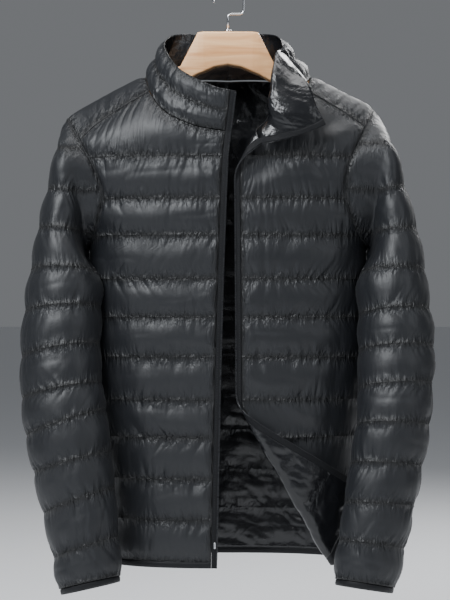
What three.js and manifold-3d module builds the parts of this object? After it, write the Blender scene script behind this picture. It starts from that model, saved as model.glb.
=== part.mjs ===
// A light quilted down jacket, open at the front, hanging on a wooden hanger with a wire hook.
// Millimetres. X runs to the viewer's right, Y away from the viewer and Z up. The origin is the
// inner top of the hook, where a rail holds it. "left" and "right" are the viewer's, and a
// table's x is measured outwards from the middle plane on its own side.
import * as THREE from "three";
import { mergeVertices } from "three/addons/utils/BufferGeometryUtils.js";
import Module from "manifold-3d";

// Cloth
const WALL = 2;
const PUFF = 7;
const SLEEVE_PUFF = 5;
const YOKE_PUFF = 4.8;
const COLLAR_PUFF = 6.4;
const QUILT_ROUNDING = 0.6;
const BINDING_WALL = 3;
const TAPE_WALL = 1.6;
const SEAM_GAP = 0.3;
const SLEEVE_SEAM_GAP = 1.4;
const SEAM_FADE = 14;
const PRESSED = 0.25;
const PRESS_REACH = 25;
// Under the arm the sleeve and the body press each other flat, along a line
const ARM_PRESS = {
  top: new THREE.Vector3(192, -12, -385),
  bottom: new THREE.Vector3(174, -60, -720),
  inner: 36,
  outer: 80,
  least: 0.08,
};

// Heights of the garment
const HEM_EDGE = -806;
const HEM_SEAM = -797.5;
const UNDERARM = -375;
const QUILT_LINES = [HEM_SEAM, -741, -686, -629.5, -579, -521, -467, -415, -356, -306, -249];
const LAST_LINE = QUILT_LINES.length - 1;
const STEPS_PER_CHANNEL = 3;
// The back's last channel runs on up to the yoke and the neck
const BACK_TOP_CHANNELS = 2;
// Rows below the hem seam, by the numbers that rowHeight takes: the binding's lower and upper edge
const HEM_ROWS = [-2, -1];

// Body sections, one row per height: half width to the side seam, half depth at the middle.
// Above the underarm the width runs on into the arm, where the armhole cuts it off.
const BODY = [
  { z: -806, halfWidth: 164, halfDepth: 84 },
  { z: -741, halfWidth: 169, halfDepth: 86 },
  { z: -650, halfWidth: 179, halfDepth: 87 },
  { z: -580, halfWidth: 188, halfDepth: 88 },
  { z: -521, halfWidth: 192, halfDepth: 88 },
  { z: -415, halfWidth: 192, halfDepth: 88 },
  { z: -375, halfWidth: 191, halfDepth: 88 },
  { z: -340, halfWidth: 196, halfDepth: 87 },
  { z: -301, halfWidth: 205, halfDepth: 86 },
  { z: -257, halfWidth: 225, halfDepth: 84 },
  { z: -222, halfWidth: 245, halfDepth: 80 },
  { z: -130, halfWidth: 262, halfDepth: 75 },
];
const ROUNDNESS = 2.4;
const BACK_SHARE = 0.85;

// Shoulders
const NECK_SIDE = { x: 116, z: -136 };
const SHOULDER_SLOPE = 0.52;
const SHOULDER_ROUNDING = 100;
const SHOULDER_POWER = 0.7;
const SHOULDER_LEAST = 0.05;
const YOKE_DEPTH = { left: 38, right: 36 };
const YOKE_CROWDING = 1.3;

// Armhole edge in the front view, one row per height, narrowest at chest height
const CHEST = -301;
const ARMHOLE = {
  left: [
    { z: -375, x: 191 },
    { z: -340, x: 178 },
    { z: -301, x: 170 },
    { z: -257, x: 185 },
    { z: -238, x: 196 },
    { z: -191, x: 222 },
  ],
  right: [
    { z: -375, x: 191 },
    { z: -340, x: 171 },
    { z: -301, x: 158 },
    { z: -257, x: 164 },
    { z: -238, x: 173 },
    { z: -180.5, x: 202 },
  ],
};

// Neckline of each front, from the zip edge to the yoke seam, and of the back from the yoke seam
const FRONT_NECK = {
  left: [
    { x: 4, z: -216 },
    { x: 24, z: -213 },
    { x: 43, z: -209 },
    { x: 63, z: -201.5 },
    { x: 80, z: -193 },
    { x: 96, z: -178 },
  ],
  right: [
    { x: 16, z: -216 },
    { x: 36, z: -211 },
    { x: 50, z: -202 },
    { x: 57, z: -185 },
    { x: 60, z: -165 },
    { x: 64, z: -148 },
    { x: 78, z: -139 },
    { x: 96, z: -140 },
  ],
};
const YOKE_NECK = { frontX: 108, ridgeX: 114, backX: 102, backDepth: 30 };
const BACK_NECK_HEIGHT = -134;
const BACK_NECK_CURVE = 3;

// Zip edges: distance of the cloth edge from the middle plane, one row per height
const ZIP_EDGE = {
  left: [
    { z: -806, x: 23 },
    { z: -484, x: 16 },
    { z: -256, x: 8 },
    { z: -216, x: 4 },
  ],
  right: [
    { z: -806, x: 19 },
    { z: -484, x: 18 },
    { z: -216, x: 16 },
  ],
};
const TAPE_WIDTH = 8;

// Collar top edge, one row per share of the way from the front end to the middle of the back
const COLLAR_TOP = {
  left: [
    { share: 0, x: -3, y: -88, z: -161 },
    { share: 0.06, x: 15, y: -86, z: -157 },
    { share: 0.16, x: 44, y: -76, z: -144 },
    { share: 0.24, x: 64, y: -62, z: -131 },
    { share: 0.3, x: 73, y: -50, z: -121 },
    { share: 0.38, x: 83, y: -30, z: -105 },
    { share: 0.46, x: 88, y: -10, z: -91 },
    { share: 0.55, x: 85, y: 14, z: -79 },
    { share: 0.68, x: 72, y: 38, z: -69 },
    { share: 0.84, x: 38, y: 54, z: -66 },
    { share: 1, x: 0, y: 58, z: -66 },
  ],
  right: [
    { share: 0, x: 127, y: -99, z: -201 },
    { share: 0.1, x: 118, y: -98, z: -183 },
    { share: 0.18, x: 112, y: -92, z: -163 },
    { share: 0.26, x: 106, y: -82, z: -148 },
    { share: 0.34, x: 97, y: -68, z: -134 },
    { share: 0.42, x: 86, y: -48, z: -117 },
    { share: 0.5, x: 76, y: -22, z: -96 },
    { share: 0.6, x: 72, y: 6, z: -80 },
    { share: 0.72, x: 62, y: 34, z: -70 },
    { share: 0.86, x: 36, y: 54, z: -66 },
    { share: 1, x: 0, y: 58, z: -66 },
  ],
};
// On the right the collar leaves the neckline inwards and rolls over towards its top edge:
// where half its height lies, by the same shares
const COLLAR_ROLL = [
  { share: 0, x: 95, y: -104, z: -216 },
  { share: 0.1, x: 74, y: -106, z: -199 },
  { share: 0.18, x: 63, y: -101, z: -184 },
  { share: 0.26, x: 61, y: -93, z: -161 },
  { share: 0.34, x: 62, y: -80, z: -132 },
  { share: 0.42, x: 67, y: -58, z: -108 },
  { share: 0.5, x: 88, y: -32, z: -112 },
  { share: 0.6, x: 93, y: 2, z: -108 },
];
// The collar's foot stands off the cloth by a clearance, and by more where it rolls
const COLLAR_CLEARANCE = 3;
const COLLAR_LIFT = 6;
const COLLAR_CHANNELS = 2;
// Columns from the right end over which the rolled collar's down comes back
const COLLAR_PRESSED = { from: 12, to: 18 };

// The two folds of the right front: where the fold leaves the zip edge, its lean from the
// vertical, whether it runs up or down, and the radius that the cloth rolls round
const RIGHT_FOLDS = [
  { x: 16, z: -276, lean: THREE.MathUtils.degToRad(28), up: 1, radius: 9 },
  { x: 18, z: -575, lean: THREE.MathUtils.degToRad(29), up: -1, radius: 9 },
];

// Sleeve rings below the armhole, one row per quilt line: its outer and inner ends in the
// front view, how far forward its middle lies, its half depth, and how late it dips under the arm
const SLEEVE = {
  left: [
    { outerX: 235, outerZ: -236, innerX: 196, innerZ: -379, y: -6, halfDepth: 62, dip: 2.6 },
    { outerX: 248, outerZ: -294, innerX: 197, innerZ: -386, y: -14, halfDepth: 63, dip: 2.4 },
    { outerX: 259, outerZ: -348, innerX: 192, innerZ: -398, y: -26, halfDepth: 62, dip: 1.7 },
    { outerX: 268, outerZ: -404, innerX: 172, innerZ: -424, y: -42, halfDepth: 60, dip: 1 },
    { outerX: 275, outerZ: -461, innerX: 174, innerZ: -455, y: -53, halfDepth: 57, dip: 1 },
    { outerX: 278, outerZ: -522, innerX: 175, innerZ: -504, y: -66, halfDepth: 54, dip: 1 },
    { outerX: 276, outerZ: -578, innerX: 172, innerZ: -556, y: -79, halfDepth: 51, dip: 1 },
    { outerX: 269, outerZ: -627, innerX: 166, innerZ: -592, y: -90, halfDepth: 48, dip: 1 },
    { outerX: 258, outerZ: -676, innerX: 159, innerZ: -648, y: -99, halfDepth: 45, dip: 1 },
    { outerX: 245, outerZ: -730, innerX: 153, innerZ: -695, y: -102, halfDepth: 43, dip: 1 },
    { outerX: 231, outerZ: -788, innerX: 148, innerZ: -760, y: -110, halfDepth: 39, dip: 1 },
    { outerX: 224, outerZ: -829, innerX: 144, innerZ: -811, y: -115, halfDepth: 36, dip: 1 },
  ],
  right: [
    { outerX: 224, outerZ: -228, innerX: 197, innerZ: -379, y: -6, halfDepth: 60, dip: 2.6 },
    { outerX: 243, outerZ: -290, innerX: 197, innerZ: -386, y: -14, halfDepth: 62, dip: 2.4 },
    { outerX: 258, outerZ: -350, innerX: 193, innerZ: -398, y: -26, halfDepth: 61, dip: 1.7 },
    { outerX: 267, outerZ: -405, innerX: 177, innerZ: -424, y: -42, halfDepth: 60, dip: 1 },
    { outerX: 273, outerZ: -458, innerX: 179, innerZ: -465, y: -54, halfDepth: 57, dip: 1 },
    { outerX: 277, outerZ: -508, innerX: 178, innerZ: -512, y: -67, halfDepth: 54, dip: 1 },
    { outerX: 274, outerZ: -557, innerX: 177, innerZ: -562, y: -81, halfDepth: 50, dip: 1 },
    { outerX: 268, outerZ: -612, innerX: 174, innerZ: -610, y: -94, halfDepth: 46, dip: 1 },
    { outerX: 258, outerZ: -667, innerX: 165, innerZ: -662, y: -99, halfDepth: 43, dip: 1 },
    { outerX: 247, outerZ: -720, innerX: 157, innerZ: -714, y: -107, halfDepth: 40, dip: 1 },
    { outerX: 233, outerZ: -775, innerX: 149, innerZ: -764, y: -113, halfDepth: 38, dip: 1 },
    { outerX: 221, outerZ: -827, innerX: 143, innerZ: -815, y: -117, halfDepth: 36, dip: 1 },
  ],
};
const SLEEVE_COLUMNS = 16;
// Rings lean forward below the sleeve cap
const SLEEVE_CAP_RINGS = 2;
const SLEEVE_LEAN = 0.16;
// Air between the sleeve's inside and the body: it starts this far below the armhole and grows
// over this drop
const SLEEVE_AIR = 8.5;
const UNDERARM_AIR = 1;
const SLEEVE_OPENING = 14;
const CUFF_LENGTH = 8;

// Columns of the grids
const SEAM_COLUMNS = 6;
const BACK_NECK_COLUMNS = 4;
const FRONT_NECK_COLUMNS = { left: 7, right: 16 };
// The right front's columns are closer near its folds
const FOLD_CROWDING = 1.25;
const YOKE_STEPS = 6;
const ARC_STEPS = 24;
const HALVINGS = 30;
const CLEARING_STEPS = 8;

// Hanger: stations from the middle outwards
const HANGER = [
  { x: 0, top: -72, bottom: -118, front: -15, back: 11 },
  { x: 18, top: -72, bottom: -121, front: -15, back: 11 },
  { x: 34, top: -72, bottom: -128, front: -15, back: 11 },
  { x: 42, top: -73, bottom: -131, front: -14, back: 12 },
  { x: 66, top: -119, bottom: -144, front: -10, back: 12 },
  { x: 100, top: -133, bottom: -157, front: -8, back: 12 },
  { x: 150, top: -159, bottom: -181, front: -6, back: 12 },
  { x: 186, top: -180, bottom: -197, front: -4, back: 11 },
];
const HANGER_CORNER = 3;
const HOOK_WIRE = 3.5;
const HOOK_INNER_RADIUS = 20;
const HOOK_BEND = 6;
const HOOK_JOG = -46;
const HOOK_ARC = { turn: THREE.MathUtils.degToRad(205), points: 14 };
const HOOK_STEPS = 56;
const HOOK_SIDES = 10;
const FERRULE = { radius: 5, height: 4, sides: 20 };
const ZIP_PIN = { width: 3, thickness: 2, length: 9, x: 18, z: -775 };

const SIGN = { left: -1, right: 1 };
const lerp = THREE.MathUtils.lerp;
const clamp = THREE.MathUtils.clamp;

// Value of one column of a table at a place between its rows, on a smooth curve
function along(rows, at, name, by = "z") {
  const found = rows.findIndex((row, k) => k > 0 && at <= row[by]);
  const above = found < 0 ? rows.length - 1 : found;
  const slopeAt = (k) => {
    const before = rows[Math.max(k - 1, 0)];
    const after = rows[Math.min(k + 1, rows.length - 1)];
    return (after[name] - before[name]) / (after[by] - before[by]);
  };
  const low = rows[above - 1];
  const high = rows[above];
  const span = high[by] - low[by];
  const t = clamp((at - low[by]) / span, 0, 1);
  const rise = t * t * (3 - 2 * t);
  const bend = t * (1 - t) * (1 - t) * slopeAt(above - 1) - t * t * (1 - t) * slopeAt(above);
  return lerp(low[name], high[name], rise) + span * bend;
}

// Top of the shoulder at x, and how much of the body's depth it leaves at height z
function ridgeHeight(x) {
  return NECK_SIDE.z - SHOULDER_SLOPE * (Math.abs(x) - NECK_SIDE.x);
}

function shoulderCap(x, z) {
  const drop = clamp((ridgeHeight(x) - z) / SHOULDER_ROUNDING, 0, 1);
  return Math.sin((drop * Math.PI) / 2) ** SHOULDER_POWER;
}

// Distance of the body's front from the middle plane
function depthAt(x, z) {
  const across = Math.min(Math.abs(x) / along(BODY, z, "halfWidth"), 1);
  const round = (1 - across ** ROUNDNESS) ** (1 / ROUNDNESS);
  return along(BODY, z, "halfDepth") * round * shoulderCap(x, z);
}

// Height on the shoulder where the body is a given depth
function heightAt(x, depth) {
  let low = ridgeHeight(x) - SHOULDER_ROUNDING;
  let high = ridgeHeight(x);
  for (let step = 0; step < HALVINGS; step += 1) {
    const middle = (low + high) / 2;
    if (depthAt(x, middle) > depth) low = middle;
    else high = middle;
  }
  return (low + high) / 2;
}

// A value that is 1 on the body, less inside it and more outside
function bodyLevel(x, y, z) {
  const share = y > 0 ? BACK_SHARE : 1;
  const halfDepth = along(BODY, z, "halfDepth") * share * Math.max(shoulderCap(x, z), SHOULDER_LEAST);
  const halfWidth = along(BODY, z, "halfWidth");
  return (Math.abs(x) / halfWidth) ** ROUNDNESS + (Math.abs(y) / halfDepth) ** ROUNDNESS;
}

// How fast that value changes with each coordinate
function bodySlope({ x, y, z }) {
  const reach = 0.5;
  return new THREE.Vector3(
    bodyLevel(x + reach, y, z) - bodyLevel(x - reach, y, z),
    bodyLevel(x, y + reach, z) - bodyLevel(x, y - reach, z),
    bodyLevel(x, y, z + reach) - bodyLevel(x, y, z - reach),
  ).divideScalar(2 * reach);
}

// Outward direction of the body at a point on it
function bodyNormal(point) {
  return bodySlope(point).normalize();
}

// About how far a point lies outside the body
function bodyDistance(point) {
  const level = bodyLevel(point.x, point.y, point.z) ** (1 / ROUNDNESS);
  const slope = bodySlope(point).length() / (ROUNDNESS * level ** (ROUNDNESS - 1));
  return (level - 1) / slope;
}

function frontPoint(side, x, z) {
  return new THREE.Vector3(SIGN[side] * x, -depthAt(x, z) - SEAM_GAP / 2, z);
}

function backPoint(side, x, z) {
  return new THREE.Vector3(SIGN[side] * x, BACK_SHARE * depthAt(x, z) + SEAM_GAP / 2, z);
}

// Length of the front from the middle out to x, along its curve at height z, and the way back
function arcTo(x, z) {
  let length = 0;
  let last = depthAt(0, z);
  for (let step = 1; step <= ARC_STEPS; step += 1) {
    const depth = depthAt((x * step) / ARC_STEPS, z);
    length += Math.hypot(x / ARC_STEPS, depth - last);
    last = depth;
  }
  return x < 0 ? -length : length;
}

function acrossFor(arc, z) {
  let low = 0;
  let high = along(BODY, z, "halfWidth");
  for (let step = 0; step < HALVINGS; step += 1) {
    const middle = (low + high) / 2;
    if (arcTo(middle, z) < arc) low = middle;
    else high = middle;
  }
  return (low + high) / 2;
}

// How far a place on the right front lies past a fold, measured square to it
function pastFold(fold, x, z) {
  return -(x - fold.x) * Math.cos(fold.lean) + fold.up * (z - fold.z) * Math.sin(fold.lean);
}

// The right front after folding: cloth past a fold rolls forwards and lies back on the panel
function foldedPoint(x, z) {
  for (const fold of RIGHT_FOLDS) {
    const past = pastFold(fold, x, z);
    if (past <= 0) continue;
    const turn = Math.min(past / fold.radius, Math.PI);
    const beyond = Math.max(past - Math.PI * fold.radius, 0);
    const shift = fold.radius * Math.sin(turn) - beyond - past;
    const raise = fold.radius * (1 - Math.cos(turn));
    const newZ = z + fold.up * Math.sin(fold.lean) * shift;
    const newX = acrossFor(arcTo(x, z) - Math.cos(fold.lean) * shift, newZ);
    const point = frontPoint("right", newX, newZ);
    return point.addScaledVector(bodyNormal(point), raise);
  }
  return frontPoint("right", x, z);
}

// A place on a front, folded where the right one is
function frontAt(side, x, z) {
  return side === "right" ? foldedPoint(x, z) : frontPoint(side, x, z);
}

// Outward direction of a front at a place on it, also where it is folded
function frontDirection(side, x, z) {
  const past = Math.max(...RIGHT_FOLDS.map((fold) => pastFold(fold, x, z)));
  if (side === "left" || past <= 0) return bodyNormal(frontPoint(side, x, z));
  const reach = 0.2;
  const across = foldedPoint(x + reach, z).sub(foldedPoint(x - reach, z));
  const upwards = foldedPoint(x, z + reach).sub(foldedPoint(x, z - reach));
  return across.cross(upwards).normalize();
}

function armPress(point) {
  const { top, bottom, inner, outer, least } = ARM_PRESS;
  const place = new THREE.Vector3(Math.abs(point.x), point.y, point.z);
  const nearest = new THREE.Line3(top, bottom).closestPointToPoint(place, true, new THREE.Vector3());
  return lerp(least, 1, THREE.MathUtils.smoothstep(nearest.distanceTo(place), inner, outer));
}

// Share of the down left where a fold lies, or where the cloth folded over covers the panel
function pressAt(side, x, z) {
  if (side === "left") return 1;
  const inside = RIGHT_FOLDS.map((fold) => {
    const past = Math.min(pastFold(fold, x, z), 0);
    const cover = x + 2 * past * Math.cos(fold.lean);
    return cover - zipEdge(side, z) + TAPE_WIDTH;
  });
  const nearest = Math.max(...inside);
  return lerp(1, PRESSED, THREE.MathUtils.smoothstep(nearest, -PRESS_REACH, 0));
}

// Height of the down between two quilt lines
function quiltProfile(line) {
  const t = line - Math.floor(line);
  return Math.sin(Math.PI * t) ** QUILT_ROUNDING;
}

// Zip edge, armhole and top edge of a front
function zipEdge(side, z) {
  return along(ZIP_EDGE[side], z, "x");
}

function sideEdge(side, z) {
  return z > UNDERARM ? along(ARMHOLE[side], z, "x") : along(BODY, z, "halfWidth");
}

// Yoke seams run at a fixed depth from the neck to the armhole
function armholeAtDepth(side, depth) {
  let low = CHEST;
  let high = ARMHOLE[side].at(-1).z;
  for (let step = 0; step < HALVINGS; step += 1) {
    const middle = (low + high) / 2;
    if (depthAt(sideEdge(side, middle), middle) > depth) low = middle;
    else high = middle;
  }
  return sideEdge(side, (low + high) / 2);
}

// Place on the yoke: share 0 at the neck to 1 at the armhole, turn -1 at the front seam to 1
function yokePlace(side, share, turn) {
  const seamDepth = turn < 0 ? YOKE_DEPTH[side] : YOKE_NECK.backDepth;
  const depth = seamDepth * Math.abs(turn) ** YOKE_CROWDING;
  const neckX = lerp(YOKE_NECK.ridgeX, turn < 0 ? YOKE_NECK.frontX : YOKE_NECK.backX, turn * turn);
  const x = lerp(neckX, armholeAtDepth(side, depth), share);
  return { x, z: heightAt(x, depth), depth };
}

function yokePoint(side, share, turn) {
  const place = yokePlace(side, share, turn);
  const y = turn < 0 ? -place.depth : BACK_SHARE * place.depth;
  return new THREE.Vector3(SIGN[side] * place.x, y, place.z);
}

// Neckline of a front as a curve through its table, ending at the yoke seam
function frontNeckPlace(side, share) {
  const end = yokePlace(side, 0, -1);
  const rows = [...FRONT_NECK[side], { x: end.x, z: end.z }];
  const curve = new THREE.CatmullRomCurve3(rows.map((row) => new THREE.Vector3(row.x, 0, row.z)));
  const place = curve.getPointAt(share);
  return { x: place.x, z: place.z };
}

function frontColumns(side) {
  return FRONT_NECK_COLUMNS[side] + SEAM_COLUMNS;
}

// Top edge of a front by column: the neckline, then the seam with the yoke
function frontTop(side, column) {
  const neckColumns = FRONT_NECK_COLUMNS[side];
  if (column <= neckColumns) return frontNeckPlace(side, column / neckColumns);
  const place = yokePlace(side, (column - neckColumns) / SEAM_COLUMNS, -1);
  return { x: place.x, z: place.z };
}

function backTop(side, column) {
  const seam = yokePlace(side, 0, 1);
  if (column <= BACK_NECK_COLUMNS) {
    const share = column / BACK_NECK_COLUMNS;
    return { x: seam.x * share, z: lerp(BACK_NECK_HEIGHT, seam.z, share ** BACK_NECK_CURVE) };
  }
  return yokePlace(side, (column - BACK_NECK_COLUMNS) / SEAM_COLUMNS, 1);
}

// Columns spread evenly round the body's section between the zip edge and the side
function columnAt(side, share, z, start) {
  const halfWidth = along(BODY, z, "halfWidth");
  const turnFor = (x) => Math.asin(clamp(x / halfWidth, 0, 1) ** (ROUNDNESS / 2));
  const turn = lerp(turnFor(start), turnFor(sideEdge(side, z)), share);
  return halfWidth * Math.sin(turn) ** (2 / ROUNDNESS);
}

// Height of a row: whole numbers are quilt lines, and rows below the first are the hem binding
function rowHeight(row) {
  if (row < 0) return lerp(HEM_SEAM - SEAM_GAP, HEM_EDGE, -row - 1);
  const line = Math.min(Math.floor(row), LAST_LINE - 1);
  return lerp(QUILT_LINES[line], QUILT_LINES[line + 1], row - line);
}

// Share of the way from the zip edge to the side at a column
function columnShare(side, column) {
  const share = column / frontColumns(side);
  return side === "right" ? share ** FOLD_CROWDING : share;
}

function frontPlace(side, column, row) {
  const level = rowHeight(Math.min(row, LAST_LINE));
  const share = columnShare(side, column);
  const x = columnAt(side, share, level, zipEdge(side, level));
  if (row <= LAST_LINE) return { x, z: level };
  const top = frontTop(side, column);
  const rise = row - LAST_LINE;
  return { x: lerp(x, top.x, rise), z: lerp(level, top.z - SEAM_GAP, rise) };
}

function backPlace(side, column, row) {
  const columns = BACK_NECK_COLUMNS + SEAM_COLUMNS;
  const level = rowHeight(Math.min(row, LAST_LINE));
  const x = columnAt(side, column / columns, level, 0);
  if (row <= LAST_LINE) return { x, z: level };
  const top = backTop(side, column);
  const rise = (row - LAST_LINE) / BACK_TOP_CHANNELS;
  return { x: lerp(x, top.x, rise), z: lerp(level, top.z - SEAM_GAP, rise) };
}

// Grids are lists of columns, each a list of rows. Directions come from the neighbours.
function makeGrid(columns, rows, pointAt) {
  return Array.from({ length: columns + 1 }, (_, i) =>
    Array.from({ length: rows + 1 }, (_, j) => pointAt(i, j)),
  );
}

function gridNormals(grid, ring, facing) {
  const columns = grid.length;
  const rows = grid[0].length;
  return grid.map((line, i) =>
    line.map((_, j) => {
      const before = ring ? grid[(i + columns - 1) % columns] : grid[Math.max(i - 1, 0)];
      const after = ring ? grid[(i + 1) % columns] : grid[Math.min(i + 1, columns - 1)];
      const across = after[j].clone().sub(before[j]);
      const upwards = line[Math.min(j + 1, rows - 1)].clone().sub(line[Math.max(j - 1, 0)]);
      return across.cross(upwards).normalize().multiplyScalar(facing);
    }),
  );
}

// A closed wall on a grid: plain inside, and raised outside by wall plus the height given
function wallOn(grid, { ring = false, facing = 1, wall = WALL, height = () => 0, normals } = {}) {
  const directions = normals ?? gridNormals(grid, ring, facing);
  const columns = grid.length;
  const rows = grid[0].length;
  const positions = [];
  for (const outside of [0, 1]) {
    grid.forEach((line, i) =>
      line.forEach((point, j) => {
        const thick = outside * (wall + height(i, j));
        positions.push(...point.clone().addScaledVector(directions[i][j], thick).toArray());
      }),
    );
  }
  const index = [];
  const at = (outside, i, j) => outside * columns * rows + (i % columns) * rows + j;
  const quad = (a, b, c, d) => {
    if (facing > 0) index.push(a, b, c, a, c, d);
    else index.push(a, c, b, a, d, c);
  };
  const lastColumn = ring ? columns : columns - 1;
  for (let i = 0; i < lastColumn; i += 1) {
    for (let j = 0; j < rows - 1; j += 1) {
      quad(at(1, i, j), at(1, i + 1, j), at(1, i + 1, j + 1), at(1, i, j + 1));
      quad(at(0, i, j), at(0, i, j + 1), at(0, i + 1, j + 1), at(0, i + 1, j));
    }
    quad(at(0, i, 0), at(0, i + 1, 0), at(1, i + 1, 0), at(1, i, 0));
    quad(at(1, i, rows - 1), at(1, i + 1, rows - 1), at(0, i + 1, rows - 1), at(0, i, rows - 1));
  }
  if (!ring) {
    for (let j = 0; j < rows - 1; j += 1) {
      const end = columns - 1;
      quad(at(0, 0, j), at(1, 0, j), at(1, 0, j + 1), at(0, 0, j + 1));
      quad(at(1, end, j), at(0, end, j), at(0, end, j + 1), at(1, end, j + 1));
    }
  }
  const geometry = new THREE.BufferGeometry();
  geometry.setAttribute("position", new THREE.Float32BufferAttribute(positions, 3));
  geometry.setIndex(index);
  geometry.computeVertexNormals();
  return geometry;
}

// Down height that dies away at the edges of a panel
function edgeFade(grid, i, j, ring = false) {
  const columns = grid.length - 1;
  const rows = grid[0].length - 1;
  const fromEnds = [grid[i][0], grid[i][rows]];
  const fromSides = ring ? [] : [grid[0][j], grid[columns][j]];
  const nearest = Math.min(...[...fromEnds, ...fromSides].map((edge) => edge.distanceTo(grid[i][j])));
  return clamp(nearest / SEAM_FADE, 0, 1);
}

function frontGeometry(side) {
  const columns = frontColumns(side);
  const rows = (LAST_LINE + 1) * STEPS_PER_CHANNEL;
  const rowOf = (j) => j / STEPS_PER_CHANNEL;
  const grid = makeGrid(columns, rows, (i, j) => {
    const place = frontPlace(side, i, rowOf(j));
    return frontAt(side, place.x, place.z);
  });
  const normals = makeGrid(columns, rows, (i, j) => {
    const place = frontPlace(side, i, rowOf(j));
    return frontDirection(side, place.x, place.z);
  });
  const height = (i, j) => {
    const place = frontPlace(side, i, rowOf(j));
    const press = pressAt(side, place.x, place.z) * armPress(grid[i][j]);
    return PUFF * press * quiltProfile(rowOf(j)) * edgeFade(grid, i, j);
  };
  return wallOn(grid, { facing: SIGN[side], normals, height });
}

// The back runs from the left side over the middle to the right side
function backSide(i) {
  const half = BACK_NECK_COLUMNS + SEAM_COLUMNS;
  return { side: i < half ? "left" : "right", column: Math.abs(i - half) };
}

function backGeometry() {
  const columns = 2 * (BACK_NECK_COLUMNS + SEAM_COLUMNS);
  const rows = (LAST_LINE + BACK_TOP_CHANNELS) * STEPS_PER_CHANNEL;
  const rowOf = (j) => j / STEPS_PER_CHANNEL;
  const grid = makeGrid(columns, rows, (i, j) => {
    const { side, column } = backSide(i);
    const place = backPlace(side, column, rowOf(j));
    return backPoint(side, place.x, place.z);
  });
  const normals = grid.map((line) => line.map((point) => bodyNormal(point)));
  const height = (i, j) =>
    PUFF * armPress(grid[i][j]) * quiltProfile(rowOf(j)) * edgeFade(grid, i, j);
  return wallOn(grid, { facing: -1, normals, height });
}

function yokeGeometry(side) {
  const grid = makeGrid(SEAM_COLUMNS, YOKE_STEPS, (i, j) =>
    yokePoint(side, i / SEAM_COLUMNS, (2 * j) / YOKE_STEPS - 1),
  );
  const normals = grid.map((line) => line.map((point) => bodyNormal(point)));
  const height = (i, j) => YOKE_PUFF * edgeFade(grid, i, j);
  return wallOn(grid, { facing: SIGN[side], normals, height });
}

// Neckline of one side from the front end to the middle of the back, as the panels have it
function neckline(side) {
  const points = [];
  for (let i = 0; i <= FRONT_NECK_COLUMNS[side]; i += 1) {
    const place = frontTop(side, i);
    points.push(frontAt(side, place.x, place.z));
  }
  for (let j = 1; j < YOKE_STEPS; j += 1) points.push(yokePoint(side, 0, (2 * j) / YOKE_STEPS - 1));
  for (let i = BACK_NECK_COLUMNS; i >= 0; i -= 1) {
    const place = backTop(side, i);
    points.push(backPoint(side, place.x, place.z));
  }
  return points;
}

function collarHalf(side) {
  const base = neckline(side);
  const lengths = [0];
  base.forEach((point, i) => {
    if (i) lengths.push(lengths[i - 1] + point.distanceTo(base[i - 1]));
  });
  return base.map((point, i) => {
    const share = lengths[i] / lengths.at(-1);
    const value = (name) => along(COLLAR_TOP[side], share, name, "share");
    const top = new THREE.Vector3(SIGN[side] * value("x"), value("y"), value("z"));
    const middle = point.clone().lerp(top, 0.5);
    if (side === "left" || share > COLLAR_ROLL.at(-1).share) return { base: point, middle, top, lift: 0 };
    const half = (name) => along(COLLAR_ROLL, share, name, "share");
    const rolled = new THREE.Vector3(half("x"), half("y"), half("z"));
    const lift = Math.min(COLLAR_LIFT, rolled.distanceTo(middle) / 2);
    return { base: point, middle: rolled.multiplyScalar(2).sub(middle), top, lift };
  });
}

// Place on the collar: up 0 on the neckline to 1 on the top edge
function collarPoint({ base, middle, top, lift }, up) {
  const start = middle.clone().sub(base).normalize();
  const bodyOutwards = Math.abs(start.dot(bodyNormal(base)));
  const raise = SEAM_GAP + Math.max(COLLAR_CLEARANCE * bodyOutwards, lift);
  const foot = base.clone().addScaledVector(start, raise);
  return new THREE.QuadraticBezierCurve3(foot, middle, top).getPoint(up);
}

function collarGeometry() {
  const columns = [...collarHalf("left"), ...collarHalf("right").reverse().slice(1)];
  const rows = COLLAR_CHANNELS * STEPS_PER_CHANNEL;
  const grid = makeGrid(columns.length - 1, rows, (i, j) => collarPoint(columns[i], j / rows));
  const height = (i, j) => {
    const fromRight = columns.length - 1 - i;
    const press = THREE.MathUtils.smoothstep(fromRight, COLLAR_PRESSED.from, COLLAR_PRESSED.to);
    const down = COLLAR_PUFF * lerp(PRESSED, 1, press);
    return down * quiltProfile(j / STEPS_PER_CHANNEL) * edgeFade(grid, i, j);
  };
  return wallOn(grid, { facing: -1, height });
}

// Armhole edge: turn 0 on the shoulder, a quarter at the front, half under the arm
function armholePoint(side, turn) {
  const rows = ARMHOLE[side];
  const down = (1 - Math.cos(turn)) / 2;
  const z = lerp(rows.at(-1).z, UNDERARM, down);
  const x = sideEdge(side, z);
  const front = Math.sin(turn) > 0;
  return front ? frontPoint(side, x, z) : backPoint(side, x, z);
}

function sleeveRingPoint(side, row, turn) {
  const ring = SLEEVE[side][row];
  const middleX = (ring.outerX + ring.innerX) / 2;
  const halfWidth = (ring.outerX - ring.innerX) / 2;
  const down = ((1 - Math.cos(turn)) / 2) ** ring.dip;
  const z = lerp(ring.outerZ, ring.innerZ, down);
  const forward = Math.sin(turn) * ring.halfDepth;
  return new THREE.Vector3(
    SIGN[side] * (middleX + halfWidth * Math.cos(turn)),
    ring.y - forward,
    z + (row < SLEEVE_CAP_RINGS ? 0 : SLEEVE_LEAN * forward),
  );
}

// Moves a place on the sleeve below the armhole out of the body until it is clear of it
function besideBody(point) {
  const below = UNDERARM - UNDERARM_AIR - point.z;
  const share = THREE.MathUtils.smoothstep(below, 0, SLEEVE_OPENING);
  for (let step = 0; step < CLEARING_STEPS; step += 1) {
    const short = share * SLEEVE_AIR - bodyDistance(point);
    if (share > 0 && short > 0) point.addScaledVector(bodyNormal(point), short);
  }
  return point;
}

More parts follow.
